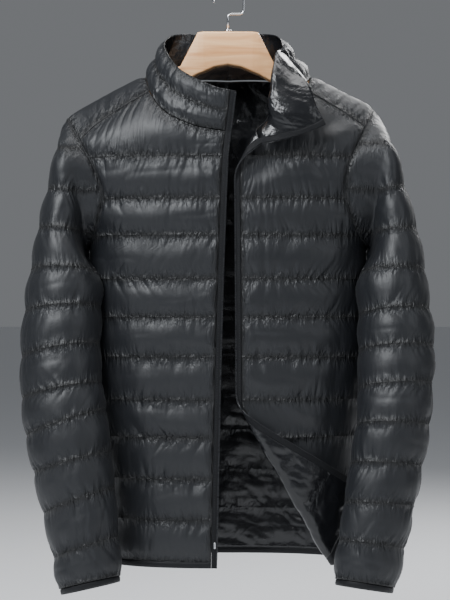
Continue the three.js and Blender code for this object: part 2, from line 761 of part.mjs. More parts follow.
// Sleeve: the armhole edge, then a ring at each quilt line, joined by smooth curves
function sleeveGeometry(side) {
  const lines = SLEEVE[side].length;
  const rows = lines * STEPS_PER_CHANNEL;
  const columns = Array.from({ length: SLEEVE_COLUMNS }, (_, i) => {
    const turn = (2 * Math.PI * (i + 0.5)) / SLEEVE_COLUMNS;
    const edge = armholePoint(side, turn);
    edge.x += SIGN[side] * SLEEVE_SEAM_GAP;
    edge.z -= SHOULDER_SLOPE * SLEEVE_SEAM_GAP * Math.max(Math.cos(turn), 0);
    const rings = SLEEVE[side].map((_, row) => sleeveRingPoint(side, row, turn));
    const curve = new THREE.CatmullRomCurve3([edge, ...rings], false, "centripetal");
    return { edge, curve };
  });
  const grid = columns.map(({ curve }) =>
    Array.from({ length: rows + 1 }, (_, j) => besideBody(curve.getPoint(j / rows))),
  );
  const normals = gridNormals(grid, true, SIGN[side]);
  columns.forEach(({ edge }, i) => {
    normals[i][0] = bodyNormal(edge);
  });
  const height = (i, j) =>
    SLEEVE_PUFF * armPress(grid[i][j]) * quiltProfile(j / STEPS_PER_CHANNEL) * edgeFade(grid, i, j, true);
  return wallOn(grid, { ring: true, facing: SIGN[side], normals, height });
}

// Cuff binding carries the last ring on down the arm
function cuffGeometry(side) {
  const last = SLEEVE[side].length - 1;
  const ringAt = (row) =>
    Array.from({ length: SLEEVE_COLUMNS }, (_, i) =>
      sleeveRingPoint(side, row, (2 * Math.PI * (i + 0.5)) / SLEEVE_COLUMNS),
    );
  const above = ringAt(last - 1);
  const edge = ringAt(last);
  const grid = edge.map((point, i) => {
    const onward = point.clone().sub(above[i]).normalize();
    return [SEAM_GAP, CUFF_LENGTH / 2, CUFF_LENGTH].map((drop) =>
      point.clone().addScaledVector(onward, drop),
    );
  });
  return wallOn(grid, { ring: true, facing: SIGN[side], wall: BINDING_WALL });
}

// Hem binding: left front, back and right front in one strip
function hemGeometry() {
  const backColumns = 2 * (BACK_NECK_COLUMNS + SEAM_COLUMNS);
  const stations = [];
  const onFront = (side, column) => (row) => {
    const place = frontPlace(side, column, row);
    return {
      point: frontAt(side, place.x, place.z),
      direction: frontDirection(side, place.x, place.z),
    };
  };
  for (let i = 0; i <= frontColumns("left"); i += 1) stations.push(onFront("left", i));
  for (let i = 1; i < backColumns; i += 1) {
    stations.push((row) => {
      const { side, column } = backSide(i);
      const place = backPlace(side, column, row);
      const point = backPoint(side, place.x, place.z);
      return { point, direction: bodyNormal(point) };
    });
  }
  for (let i = frontColumns("right"); i >= 0; i -= 1) stations.push(onFront("right", i));
  const strip = stations.map((station) => HEM_ROWS.map((row) => station(row)));
  const grid = strip.map((line) => line.map(({ point }) => point));
  const normals = strip.map((line) => line.map(({ direction }) => direction));
  return wallOn(grid, { facing: -1, wall: BINDING_WALL, normals });
}

// Zip tape: carries the edge of the front and of the collar on towards the other side
function tapeGeometry(side) {
  const reach = [SEAM_GAP, TAPE_WIDTH];
  const frontRows = (LAST_LINE + 1) * STEPS_PER_CHANNEL;
  const panelRows = Array.from({ length: frontRows + 1 }, (_, j) => j / STEPS_PER_CHANNEL);
  const rowsUp = [HEM_ROWS[0], ...panelRows];
  const onFront = rowsUp.map((row) => {
    const place = frontPlace(side, 0, row);
    return {
      points: reach.map((out) => frontAt(side, place.x - out, place.z)),
      direction: frontDirection(side, place.x, place.z),
    };
  });
  const [first, second] = collarHalf(side);
  const collarRows = COLLAR_CHANNELS * STEPS_PER_CHANNEL;
  const onCollar = Array.from({ length: collarRows }, (_, j) => {
    const share = (j + 1) / collarRows;
    const edge = collarPoint(first, share);
    const inner = collarPoint(second, share);
    const out = edge.clone().sub(inner).normalize();
    const upwards = first.top.clone().sub(first.base);
    return {
      points: reach.map((distance) => edge.clone().addScaledVector(out, distance + SEAM_GAP)),
      direction: upwards.cross(out).normalize().multiplyScalar(SIGN[side]),
    };
  });
  const rows = [...onFront, ...onCollar];
  const grid = reach.map((_, i) => rows.map((row) => row.points[i]));
  const normals = reach.map(() => rows.map((row) => row.direction));
  return wallOn(grid, { facing: -SIGN[side], wall: TAPE_WALL, normals });
}

// A small plate on the outside of the left tape
function pinGeometry() {
  const { width, thickness, length, x, z } = ZIP_PIN;
  const geometry = new THREE.BoxGeometry(width, thickness, length);
  const depth = depthAt(x, z) + SEAM_GAP / 2 + TAPE_WALL + SEAM_GAP + thickness / 2;
  geometry.translate(SIGN.left * x, -depth, z);
  return geometry;
}

// Hanger: sections with cut corners, from one tip to the other
function hangerGeometry() {
  const mirrored = HANGER.slice(1).reverse().map((row) => ({ ...row, x: -row.x }));
  const stations = [...mirrored, ...HANGER];
  const ring = ({ x, top, bottom, front, back }) => {
    const cut = HANGER_CORNER;
    return [
      [front + cut, top],
      [front, top - cut],
      [front, bottom + cut],
      [front + cut, bottom],
      [back - cut, bottom],
      [back, bottom + cut],
      [back, top - cut],
      [back - cut, top],
    ].map(([y, z]) => new THREE.Vector3(x, y, z));
  };
  return loft(stations.map(ring));
}

// Closed solid through a list of rings with flat ends
function loft(rings) {
  const count = rings[0].length;
  const middles = [rings[0], rings.at(-1)].map((ring) =>
    ring.reduce((sum, point) => sum.add(point), new THREE.Vector3()).divideScalar(count),
  );
  const positions = [...rings.flat(), ...middles].flatMap((point) => point.toArray());
  const index = [];
  for (let i = 0; i < rings.length - 1; i += 1) {
    for (let j = 0; j < count; j += 1) {
      const a = i * count + j;
      const b = i * count + ((j + 1) % count);
      index.push(a, b, b + count, a, b + count, a + count);
    }
  }
  const last = (rings.length - 1) * count;
  for (let j = 0; j < count; j += 1) {
    const next = (j + 1) % count;
    index.push(rings.length * count, next, j);
    index.push(rings.length * count + 1, last + j, last + next);
  }
  const geometry = new THREE.BufferGeometry();
  geometry.setAttribute("position", new THREE.Float32BufferAttribute(positions, 3));
  geometry.setIndex(index);
  geometry.computeVertexNormals();
  return geometry;
}

const wasm = await Module();
wasm.setup();

// Joins closed geometries into one
function joined(...geometries) {
  const solids = geometries.map((geometry) => {
    const plain = geometry.clone();
    plain.deleteAttribute("normal");
    plain.deleteAttribute("uv");
    const merged = mergeVertices(plain);
    const vertProperties = merged.attributes.position.array;
    const triVerts = new Uint32Array(merged.index.array);
    return new wasm.Manifold(new wasm.Mesh({ numProp: 3, vertProperties, triVerts }));
  });
  const mesh = solids.reduce((sum, solid) => sum.add(solid)).getMesh();
  const geometry = new THREE.BufferGeometry();
  geometry.setAttribute("position", new THREE.Float32BufferAttribute(mesh.vertProperties, 3));
  geometry.setIndex([...mesh.triVerts]);
  geometry.computeVertexNormals();
  return geometry;
}

// Hook: a wire from the hanger's top, a jog to the right and a round hook open to the left
function hookGeometry() {
  const radius = HOOK_INNER_RADIUS + HOOK_WIRE / 2;
  const middle = -HOOK_INNER_RADIUS;
  const foot = HANGER[0].top + SEAM_GAP;
  const route = new THREE.CurvePath();
  const at = (x, z) => new THREE.Vector3(x, 0, z);
  route.add(new THREE.LineCurve3(at(0, foot), at(0, HOOK_JOG - HOOK_BEND)));
  route.add(
    new THREE.QuadraticBezierCurve3(at(0, HOOK_JOG - HOOK_BEND), at(0, HOOK_JOG), at(HOOK_BEND, HOOK_JOG)),
  );
  route.add(new THREE.LineCurve3(at(HOOK_BEND, HOOK_JOG), at(radius - HOOK_BEND, HOOK_JOG)));
  route.add(
    new THREE.QuadraticBezierCurve3(
      at(radius - HOOK_BEND, HOOK_JOG),
      at(radius, HOOK_JOG),
      at(radius, HOOK_JOG + HOOK_BEND),
    ),
  );
  route.add(new THREE.LineCurve3(at(radius, HOOK_JOG + HOOK_BEND), at(radius, middle)));
  const arc = Array.from({ length: HOOK_ARC.points + 1 }, (_, i) => {
    const turn = (i / HOOK_ARC.points) * HOOK_ARC.turn;
    return at(radius * Math.cos(turn), middle + radius * Math.sin(turn));
  });
  route.add(new THREE.CatmullRomCurve3(arc));
  const section = new THREE.Shape();
  section.absarc(0, 0, HOOK_WIRE / 2, 0, 2 * Math.PI);
  const wire = new THREE.ExtrudeGeometry(section, {
    steps: HOOK_STEPS,
    curveSegments: HOOK_SIDES / 2,
    extrudePath: route,
    bevelEnabled: false,
  });
  const { radius: ferruleRadius, height, sides } = FERRULE;
  const ferrule = new THREE.CylinderGeometry(ferruleRadius, ferruleRadius, height, sides);
  ferrule.rotateX(Math.PI / 2);
  ferrule.translate(0, 0, foot + height / 2);
  return joined(wire, ferrule);
}

const jacket = new THREE.Group();

function addPiece(name, geometry, look) {
  const mesh = new THREE.Mesh(geometry, new THREE.MeshStandardMaterial(look));
  mesh.name = name;
  jacket.add(mesh);
}

const SHELL = { color: 0x24272b, roughness: 0.42, metalness: 0 };
const BINDING = { color: 0x15171a, roughness: 0.6, metalness: 0 };
const TAPE = { color: 0x1b1d20, roughness: 0.7, metalness: 0 };
const WOOD = { color: 0xe2b48a, roughness: 0.45, metalness: 0 };
const STEEL = { color: 0xc9ccd0, roughness: 0.2, metalness: 1 };

for (const side of ["left", "right"]) {
  addPiece(`front_${side}`, frontGeometry(side), SHELL);
  addPiece(`yoke_${side}`, yokeGeometry(side), SHELL);
  addPiece(`sleeve_${side}`, sleeveGeometry(side), SHELL);
  addPiece(`cuff_${side}`, cuffGeometry(side), BINDING);
  addPiece(`zip_tape_${side}`, tapeGeometry(side), TAPE);
}
addPiece("back", backGeometry(), SHELL);
addPiece("collar", collarGeometry(), SHELL);
addPiece("hem_binding", hemGeometry(), BINDING);
addPiece("zip_pin", pinGeometry(), STEEL);
addPiece("hanger", hangerGeometry(), WOOD);
addPiece("hook", hookGeometry(), STEEL);

export default jacket;
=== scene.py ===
import math

import bpy
import numpy as np
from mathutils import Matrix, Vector


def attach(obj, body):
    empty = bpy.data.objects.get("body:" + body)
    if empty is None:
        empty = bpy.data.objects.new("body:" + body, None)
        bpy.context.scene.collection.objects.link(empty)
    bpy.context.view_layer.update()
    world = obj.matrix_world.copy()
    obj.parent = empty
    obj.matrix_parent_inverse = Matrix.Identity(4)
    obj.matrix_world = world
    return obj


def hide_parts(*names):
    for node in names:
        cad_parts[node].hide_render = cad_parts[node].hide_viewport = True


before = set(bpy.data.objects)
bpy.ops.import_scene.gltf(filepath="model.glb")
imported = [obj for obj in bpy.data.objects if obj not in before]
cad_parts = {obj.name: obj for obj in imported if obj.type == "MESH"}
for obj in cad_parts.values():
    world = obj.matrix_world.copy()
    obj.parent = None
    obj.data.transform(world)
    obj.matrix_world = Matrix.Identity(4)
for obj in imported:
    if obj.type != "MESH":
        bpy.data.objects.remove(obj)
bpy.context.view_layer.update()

MM = 0.001
SIGN = {"left": -1, "right": 1}


def table(names, *rows):
    """A short table as one array a column."""
    columns = np.array(rows, float).T
    return dict(zip(names.split(), columns))


# Cloth
WALL = 1.2
LEAST_WALL = 0.7
PUFF = 7.2
SLEEVE_PUFF = 4.4
YOKE_PUFF = 5.0
COLLAR_PUFF = 6.4
LINING_PUFF = 2.6
COLLAR_LINING_PUFF = 1.4
CHANNEL = 55
YOKE_CHANNEL = 70
COLLAR_CHANNEL = 38
QUILT_ROUNDING = 0.62
SEAM_GAP = 0.3
SLEEVE_SEAM_GAP = 1.4
SEAM_FADE = 14
PRESSED = 0.25
PRESS_REACH = 25
ARM_PRESS = {"top": (192, -12, -385), "bottom": (174, -60, -720), "inner": 36, "outer": 80, "least": 0.08}

# Heights of the garment
HEM_EDGE = -806
HEM_SEAM = -797.5
UNDERARM = -375
QUILT_LINES = np.array([HEM_SEAM, -741, -686, -629.5, -579, -521, -467, -415, -356, -306, -249])
LAST_LINE = len(QUILT_LINES) - 1
BACK_TOP_CHANNELS = 2
HEM_ROWS = (-2, -1)

BODY = table(
    "z half_width half_depth",
    (-806, 164, 84), (-741, 169, 86), (-650, 179, 87), (-580, 188, 88), (-521, 192, 88), (-415, 192, 88),
    (-375, 191, 88), (-340, 196, 87), (-301, 205, 86), (-257, 225, 84), (-222, 245, 80), (-130, 262, 75),
)
ROUNDNESS = 2.4
BACK_SHARE = 0.85

NECK_SIDE = {"x": 116, "z": -136}
SHOULDER_SLOPE = 0.52
SHOULDER_ROUNDING = 100
SHOULDER_POWER = 0.7
SHOULDER_LEAST = 0.05
YOKE_DEPTH = {"left": 38, "right": 36}
YOKE_CROWDING = 1.3
CHEST = -301
ARMHOLE = {
    "left": table("z x", (-375, 191), (-340, 178), (-301, 170), (-257, 185), (-238, 196), (-191, 222)),
    "right": table("z x", (-375, 191), (-340, 171), (-301, 158), (-257, 164), (-238, 173), (-180.5, 202)),
}
FRONT_NECK = {
    "left": table("x z", (4, -216), (24, -213), (43, -209), (63, -201.5), (80, -193), (96, -178)),
    "right": table(
        "x z",
        (16, -216), (36, -211), (50, -202), (57, -185), (60, -165), (64, -148), (78, -139), (96, -140),
    ),
}
YOKE_NECK = {"front_x": 108, "ridge_x": 114, "back_x": 102, "back_depth": 30}
BACK_NECK_HEIGHT = -134
BACK_NECK_CURVE = 3
ZIP_EDGE = {
    "left": table("z x", (-806, 23), (-484, 16), (-256, 8), (-216, 4)),
    "right": table("z x", (-806, 19), (-484, 18), (-216, 16)),
}
TAPE_WIDTH = 8

# Collar top edge and, on the right, where half the collar's height lies as it rolls
COLLAR_TOP = {
    "left": table(
        "share x y z",
        (0, -3, -88, -161), (0.06, 15, -86, -157), (0.16, 44, -76, -144), (0.24, 64, -62, -131),
        (0.3, 73, -50, -121), (0.38, 83, -30, -105), (0.46, 88, -10, -91), (0.55, 85, 14, -79),
        (0.68, 72, 38, -69), (0.84, 38, 54, -66), (1, 0, 58, -66),
    ),
    "right": table(
        "share x y z",
        (0, 127, -99, -201), (0.1, 118, -98, -183), (0.18, 112, -92, -163), (0.26, 106, -82, -148),
        (0.34, 97, -68, -134), (0.42, 86, -48, -117), (0.5, 76, -22, -96), (0.6, 72, 6, -80),
        (0.72, 62, 34, -70), (0.86, 36, 54, -66), (1, 0, 58, -66),
    ),
}
COLLAR_ROLL = table(
    "share x y z",
    (0, 95, -104, -216), (0.1, 74, -106, -199), (0.18, 63, -101, -184), (0.26, 61, -93, -161),
    (0.34, 62, -80, -132), (0.42, 67, -58, -108), (0.5, 88, -32, -112), (0.6, 93, 2, -108),
)
COLLAR_CLEARANCE = 3
COLLAR_LIFT = 6
COLLAR_CHANNELS = 2
COLLAR_PRESSED = {"from": 12, "to": 18}

# The two folds of the right front
RIGHT_FOLDS = [
    {"x": 16, "z": -276, "lean": math.radians(28), "up": 1, "radius": 9},
    {"x": 18, "z": -575, "lean": math.radians(29), "up": -1, "radius": 9},
]

SLEEVE = {
    "left": table(
        "outer_x outer_z inner_x inner_z y half_depth dip",
        (235, -236, 196, -379, -6, 62, 2.6), (248, -294, 197, -386, -14, 63, 2.4),
        (259, -348, 192, -398, -26, 62, 1.7), (268, -404, 172, -424, -42, 60, 1),
        (275, -461, 174, -455, -53, 57, 1), (278, -522, 175, -504, -66, 54, 1),
        (276, -578, 172, -556, -79, 51, 1), (269, -627, 166, -592, -90, 48, 1),
        (258, -676, 159, -648, -99, 45, 1), (245, -730, 153, -695, -102, 43, 1),
        (231, -788, 148, -760, -110, 39, 1), (224, -829, 144, -811, -115, 36, 1),
    ),
    "right": table(
        "outer_x outer_z inner_x inner_z y half_depth dip",
        (224, -228, 197, -379, -6, 60, 2.6), (243, -290, 197, -386, -14, 62, 2.4),
        (258, -350, 193, -398, -26, 61, 1.7), (267, -405, 177, -424, -42, 60, 1),
        (273, -458, 179, -465, -54, 57, 1), (277, -508, 178, -512, -67, 54, 1),
        (274, -557, 177, -562, -81, 50, 1), (268, -612, 174, -610, -94, 46, 1),
        (258, -667, 165, -662, -99, 43, 1), (247, -720, 157, -714, -107, 40, 1),
        (233, -775, 149, -764, -113, 38, 1), (221, -827, 143, -815, -117, 36, 1),
    ),
}
SLEEVE_CAP_RINGS = 2
# Height of the first quilt lines on the sleeve's inner side, from the armhole's top
SLEEVE_LEVELS = (-200, -245, -301, -355, -407)
SLEEVE_LEAN = 0.16
UNDERARM_PRESSED = {"sleeve": 0.6, "body": 0.25, "from": 8, "to": 18}
UNDERARM_FILL = {"from": 2.5, "to": 26, "end": 50, "air": 1.9, "body": 1.4, "most": 5, "reach": 10}
SLEEVE_AIR = 8.5
UNDERARM_AIR = 1
SLEEVE_OPENING = 14
CLEARING_STEPS = 8
CUFF_LENGTH = 8

# Columns of the solids' grids, which place the neckline and the seams
SEAM_COLUMNS = 6
BACK_NECK_COLUMNS = 4
FRONT_NECK_COLUMNS = {"left": 7, "right": 16}
FOLD_CROWDING = 1.25
YOKE_STEPS = 6
ARC_STEPS = 24
HALVINGS = 30
ARC_HALVINGS = 20

HANGER = table(
    "x top bottom front back",
    (0, -72, -118, -15, 11), (18, -72, -121, -15, 11), (34, -72, -128, -15, 11), (42, -73, -131, -14, 12),
    (66, -119, -144, -10, 12), (100, -133, -157, -8, 12), (150, -159, -181, -6, 12),
    (186, -180, -197, -4, 11),
)
HANGER_CORNER = 3
HANGER_STATIONS = 90
FACET_ANGLE = math.radians(24)
HOOK_WIRE = 3.5
HOOK_INNER_RADIUS = 20
HOOK_BEND = 6
HOOK_JOG = -46
HOOK_TURN = math.radians(205)
PIN_LIFT = 1.6
ZIP_PIN = {"width": 3, "thickness": 2, "length": 9, "x": 18, "z": -775}

# Fine grids: points a channel and across each piece
ROWS_A_CHANNEL = 25
BACK_ROWS = 24
SLEEVE_ROWS = 20
COLLAR_ROWS = 20
ACROSS = {"front": 118, "back": 150, "sleeve": 150, "yoke": 46, "collar": 300, "hem": 380}


def lerp(a, b, t):
    return a + (b - a) * t


def smoothstep(x, low, high):
    t = np.clip((x - low) / (high - low), 0, 1)
    return t * t * (3 - 2 * t)


def along(rows, at, name, by="z"):
    """Value of one column of a table at places between its rows, on a smooth curve."""
    keys, values = rows[by], rows[name]
    last = len(keys) - 1
    at = np.asarray(at, float)
    above = np.clip(np.searchsorted(keys, at, side="left"), 1, last)
    before = np.maximum(np.arange(last + 1) - 1, 0)
    after = np.minimum(np.arange(last + 1) + 1, last)
    slope = (values[after] - values[before]) / (keys[after] - keys[before])
    span = keys[above] - keys[above - 1]
    t = np.clip((at - keys[above - 1]) / span, 0, 1)
    rise = t * t * (3 - 2 * t)
    bend = t * (1 - t) ** 2 * slope[above - 1] - t * t * (1 - t) * slope[above]
    return lerp(values[above - 1], values[above], rise) + span * bend


def halving(low, high, holds, steps=HALVINGS):
    """The place between two bounds up to which a test holds."""
    for _ in range(steps):
        middle = (low + high) / 2
        further = holds(middle)
        low = np.where(further, middle, low)
        high = np.where(further, high, middle)
    return (low + high) / 2


def points(x, y, z):
    return np.stack(np.broadcast_arrays(x, y, z), axis=-1).astype(float)


def matched(*values):
    return np.broadcast_arrays(*(np.asarray(value, float) for value in values))


def length_of(vectors):
    return np.linalg.norm(vectors, axis=-1)


def unit(vectors):
    return vectors / np.maximum(length_of(vectors), 1e-9)[..., None]


def ridge_height(x):
    return NECK_SIDE["z"] - SHOULDER_SLOPE * (np.abs(x) - NECK_SIDE["x"])


def shoulder_cap(x, z):
    drop = np.clip((ridge_height(x) - z) / SHOULDER_ROUNDING, 0, 1)
    return np.sin(drop * math.pi / 2) ** SHOULDER_POWER


def depth_at(x, z):
    across = np.minimum(np.abs(x) / along(BODY, z, "half_width"), 1)
    rounding = (1 - across**ROUNDNESS) ** (1 / ROUNDNESS)
    return along(BODY, z, "half_depth") * rounding * shoulder_cap(x, z)


def height_at(x, depth):
    top = ridge_height(x)
    return halving(top - SHOULDER_ROUNDING, top, lambda z: depth_at(x, z) > depth)


def body_level(x, y, z):
    """A value that is 1 on the body, less inside it and more outside."""
    share = np.where(y > 0, BACK_SHARE, 1)
    cap = np.maximum(shoulder_cap(x, z), SHOULDER_LEAST)
    half_depth = along(BODY, z, "half_depth") * share * cap
    half_width = along(BODY, z, "half_width")
    return (np.abs(x) / half_width) ** ROUNDNESS + (np.abs(y) / half_depth) ** ROUNDNESS


def body_slope(place):
    x, y, z = place[..., 0], place[..., 1], place[..., 2]
    reach = 0.5
    differences = points(
        body_level(x + reach, y, z) - body_level(x - reach, y, z),
        body_level(x, y + reach, z) - body_level(x, y - reach, z),
        body_level(x, y, z + reach) - body_level(x, y, z - reach),
    )
    return differences / (2 * reach)


def body_normal(place):
    return unit(body_slope(place))


def body_distance(place):
    level = body_level(place[..., 0], place[..., 1], place[..., 2]) ** (1 / ROUNDNESS)
    return (level - 1) * ROUNDNESS * level ** (ROUNDNESS - 1) / length_of(body_slope(place))


def front_point(side, x, z):
    return points(SIGN[side] * x, -depth_at(x, z) - SEAM_GAP / 2, z)


def back_point(sign, x, z):
    return points(sign * x, BACK_SHARE * depth_at(x, z) + SEAM_GAP / 2, z)


def arc_to(x, z):
    length = np.zeros(np.broadcast(x, z).shape)
    last = depth_at(np.zeros_like(length), z)
    for step in range(1, ARC_STEPS + 1):
        depth = depth_at(x * step / ARC_STEPS, z)
        length += np.hypot(x / ARC_STEPS, depth - last)
        last = depth
    return np.where(x < 0, -length, length)


def across_for(arc, z):
    side_x = along(BODY, z, "half_width")
    return halving(np.zeros_like(arc), side_x, lambda x: arc_to(x, z) < arc, ARC_HALVINGS)


def past_fold(fold, x, z):
    lean = fold["lean"]
    return -(x - fold["x"]) * math.cos(lean) + fold["up"] * (z - fold["z"]) * math.sin(lean)


def folded_point(x, z):
    """The right front after folding: cloth past a fold rolls forwards and lies back on the panel."""
    x, z = matched(x, z)
    result = front_point("right", x, z)
    done = np.zeros(x.shape, bool)
    for fold in RIGHT_FOLDS:
        past = past_fold(fold, x, z)
        here = (past > 0) & ~done
        if not here.any():
            continue
        done |= here
        p, hx, hz = past[here], x[here], z[here]
        radius, lean = fold["radius"], fold["lean"]
        turn = np.minimum(p / radius, math.pi)
        beyond = np.maximum(p - math.pi * radius, 0)
        shift = radius * np.sin(turn) - beyond - p
        rise = radius * (1 - np.cos(turn))
        new_z = hz + fold["up"] * math.sin(lean) * shift
        new_x = across_for(arc_to(hx, hz) - math.cos(lean) * shift, new_z)
        base = front_point("right", new_x, new_z)
        result[here] = base + body_normal(base) * rise[:, None]
    return result


def front_at(side, x, z):
    return folded_point(x, z) if side == "right" else front_point(side, x, z)


def front_direction(side, x, z):
    """Outward direction of a front at a place on it, also where it is folded."""
    plain = body_normal(front_point(side, x, z))
    if side == "left":
        return plain
    reach = 0.2
    across = folded_point(x + reach, z) - folded_point(x - reach, z)
    upwards = folded_point(x, z + reach) - folded_point(x, z - reach)
    past = np.maximum(*[past_fold(fold, x, z) for fold in RIGHT_FOLDS])
    return np.where((past > 0)[..., None], unit(np.cross(across, upwards)), plain)


def arm_press(place):
    """Share of the down left where the sleeve and the body lie against each other, along a line."""
    start = np.array(ARM_PRESS["top"], float)
    line = ARM_PRESS["bottom"] - start
    place = np.concatenate([np.abs(place[..., :1]), place[..., 1:]], axis=-1) - start
    share = np.clip(place @ line / (line @ line), 0, 1)
    away = length_of(place - share[..., None] * line)
    return lerp(ARM_PRESS["least"], 1, smoothstep(away, ARM_PRESS["inner"], ARM_PRESS["outer"]))


def under_arm_press(place, part):
    """The same, fuller a little below the armhole, where there is more room."""
    rows = UNDERARM_PRESSED
    room = smoothstep(UNDERARM - place[..., 2], rows["from"], rows["to"])
    return np.maximum(arm_press(place), rows[part] * room)


def press_at(side, x, z):
    """Share of the down left where a fold lies, or where the folded cloth covers the panel."""
    if side == "left":
        return np.ones(np.broadcast(x, z).shape)
    nearest = np.full(np.broadcast(x, z).shape, -1e9)
    for fold in RIGHT_FOLDS:
        past = np.minimum(past_fold(fold, x, z), 0)
        cover = x + 2 * past * math.cos(fold["lean"])
        nearest = np.maximum(nearest, cover - zip_edge(side, z) + TAPE_WIDTH)
    return lerp(1, PRESSED, smoothstep(nearest, -PRESS_REACH, 0))


def zip_edge(side, z):
    return along(ZIP_EDGE[side], z, "x")


def side_edge(side, z):
    return np.where(z > UNDERARM, along(ARMHOLE[side], z, "x"), along(BODY, z, "half_width"))


def armhole_at_depth(side, depth):
    top = ARMHOLE[side]["z"][-1]
    return side_edge(side, halving(CHEST, top, lambda z: depth_at(side_edge(side, z), z) > depth))


def yoke_place(side, share, turn):
    share, turn = matched(share, turn)
    forward = turn < 0
    depth = np.where(forward, YOKE_DEPTH[side], YOKE_NECK["back_depth"]) * np.abs(turn) ** YOKE_CROWDING
    seam_x = np.where(forward, YOKE_NECK["front_x"], YOKE_NECK["back_x"])
    neck_x = lerp(YOKE_NECK["ridge_x"], seam_x, turn * turn)
    x = lerp(neck_x, armhole_at_depth(side, depth), share)
    return x, height_at(x, depth), depth


def yoke_point(side, share, turn):
    x, z, depth = yoke_place(side, share, turn)
    return points(SIGN[side] * x, np.where(np.asarray(turn) < 0, -depth, BACK_SHARE * depth), z)


def catmull(rows, t):
    """Centripetal Catmull-Rom curves through rows (m, ..., 3), at t from 0 to 1, one point a t."""
    last = len(rows) - 1
    before = 2 * rows[0] - rows[1]
    after = 2 * rows[-1] - rows[-2]
    full = np.concatenate([before[None], rows, after[None]])
    found = []
    for value in np.atleast_1d(t):
        step = min(int(value * last), last - 1)
        weight = value * last - step
        p0, p1, p2, p3 = full[step : step + 4]
        d0, d1, d2 = (
            np.maximum(length_of(b - a) ** 0.5, 1e-4)[..., None]
            for a, b in ((p0, p1), (p1, p2), (p2, p3))
        )
        t1 = ((p1 - p0) / d0 - (p2 - p0) / (d0 + d1) + (p2 - p1) / d1) * d1
        t2 = ((p2 - p1) / d1 - (p3 - p1) / (d1 + d2) + (p3 - p2) / d2) * d1
        c2 = -3 * p1 + 3 * p2 - 2 * t1 - t2
        c3 = 2 * p1 - 2 * p2 + t1 + t2
        found.append(p1 + t1 * weight + c2 * weight**2 + c3 * weight**3)
    return np.array(found)


def lengths_along(grid):
    """Length along each column of a grid, or along one line of points."""
    steps = np.cumsum(length_of(np.diff(grid, axis=0)), axis=0)
    return np.concatenate([np.zeros_like(steps[:1]), steps])


def resampled(values, steps, at):
    return np.stack([np.interp(at, steps, values[:, k]) for k in range(3)], axis=-1)


def even(curve, shares):
    """Points at even lengths along a finely sampled curve (n, 3)."""
    steps = lengths_along(curve)
    return resampled(curve, steps, shares * steps[-1])


def front_neck_curve(side):
    end_x, end_z, _ = yoke_place(side, 0, -1)
    rows = FRONT_NECK[side]
    x = np.r_[rows["x"], end_x]
    z = np.r_[rows["z"], end_z]
    return catmull(points(x, 0, z), np.linspace(0, 1, 201))


NECK_CURVES = {side: front_neck_curve(side) for side in SIGN}


def front_columns(side):
    return FRONT_NECK_COLUMNS[side] + SEAM_COLUMNS


def front_top(side, column):
    """Top edge of a front by column: the neckline, then the seam with the yoke."""
    neck_columns = FRONT_NECK_COLUMNS[side]
    neck = even(NECK_CURVES[side], np.clip(column / neck_columns, 0, 1))
    seam_x, seam_z, _ = yoke_place(side, np.clip((column - neck_columns) / SEAM_COLUMNS, 0, 1), -1)
    on_neck = column <= neck_columns
    return np.where(on_neck, neck[..., 0], seam_x), np.where(on_neck, neck[..., 2], seam_z)


def back_top(side, column):
    corner_x, corner_z, _ = yoke_place(side, 0, 1)
    share = np.clip(column / BACK_NECK_COLUMNS, 0, 1)
    seam_x, seam_z, _ = yoke_place(side, np.clip((column - BACK_NECK_COLUMNS) / SEAM_COLUMNS, 0, 1), 1)
    on_neck = column <= BACK_NECK_COLUMNS
    neck_z = lerp(BACK_NECK_HEIGHT, corner_z, share**BACK_NECK_CURVE)
    return np.where(on_neck, corner_x * share, seam_x), np.where(on_neck, neck_z, seam_z)


def column_at(side, share, z, start):
    """Columns spread evenly round the body's section between the zip edge and the side."""
    half_width = along(BODY, z, "half_width")

    def turn_for(x):
        return np.arcsin(np.clip(x / half_width, 0, 1) ** (ROUNDNESS / 2))

    turn = lerp(turn_for(start), turn_for(side_edge(side, z)), share)
    return half_width * np.sin(turn) ** (2 / ROUNDNESS)


def row_height(row):
    line = np.clip(np.floor(row).astype(int), 0, LAST_LINE - 1)
    level = lerp(QUILT_LINES[line], QUILT_LINES[line + 1], row - line)
    return np.where(row < 0, lerp(HEM_SEAM - SEAM_GAP, HEM_EDGE, -row - 1), level)


def front_place(side, column, row):
    column, row = matched(column, row)
    level = row_height(np.minimum(row, LAST_LINE))
    share = column / front_columns(side)
    if side == "right":
        share = share**FOLD_CROWDING
    x = column_at(side, share, level, zip_edge(side, level))
    top_x, top_z = front_top(side, column)
    rise = np.clip(row - LAST_LINE, 0, None)
    return lerp(x, top_x, rise), lerp(level, top_z - SEAM_GAP, rise)


def back_place(side, column, row):
    column, row = matched(column, row)
    level = row_height(np.minimum(row, LAST_LINE))
    x = column_at(side, column / (BACK_NECK_COLUMNS + SEAM_COLUMNS), level, 0)
    top_x, top_z = back_top(side, column)
    rise = np.clip((row - LAST_LINE) / BACK_TOP_CHANNELS, 0, None)
    return lerp(x, top_x, rise), lerp(level, top_z - SEAM_GAP, rise)


# Cloth noise: value noise from one fixed random table a seed
LATTICES = {}


def noise(x, y, seed):
    """Smooth noise from 0 to 1 with cells one unit wide."""
    if seed not in LATTICES:
        LATTICES[seed] = np.random.RandomState(seed).rand(256, 256)
    grid = LATTICES[seed]
    ix, iy = np.floor(x).astype(int), np.floor(y).astype(int)
    fx, fy = smoothstep(x - ix, 0, 1), smoothstep(y - iy, 0, 1)
    low, high = (lerp(*(grid[(ix + k) % 256, row % 256] for k in (0, 1)), fx) for row in (iy, iy + 1))
    return lerp(low, high, fy)


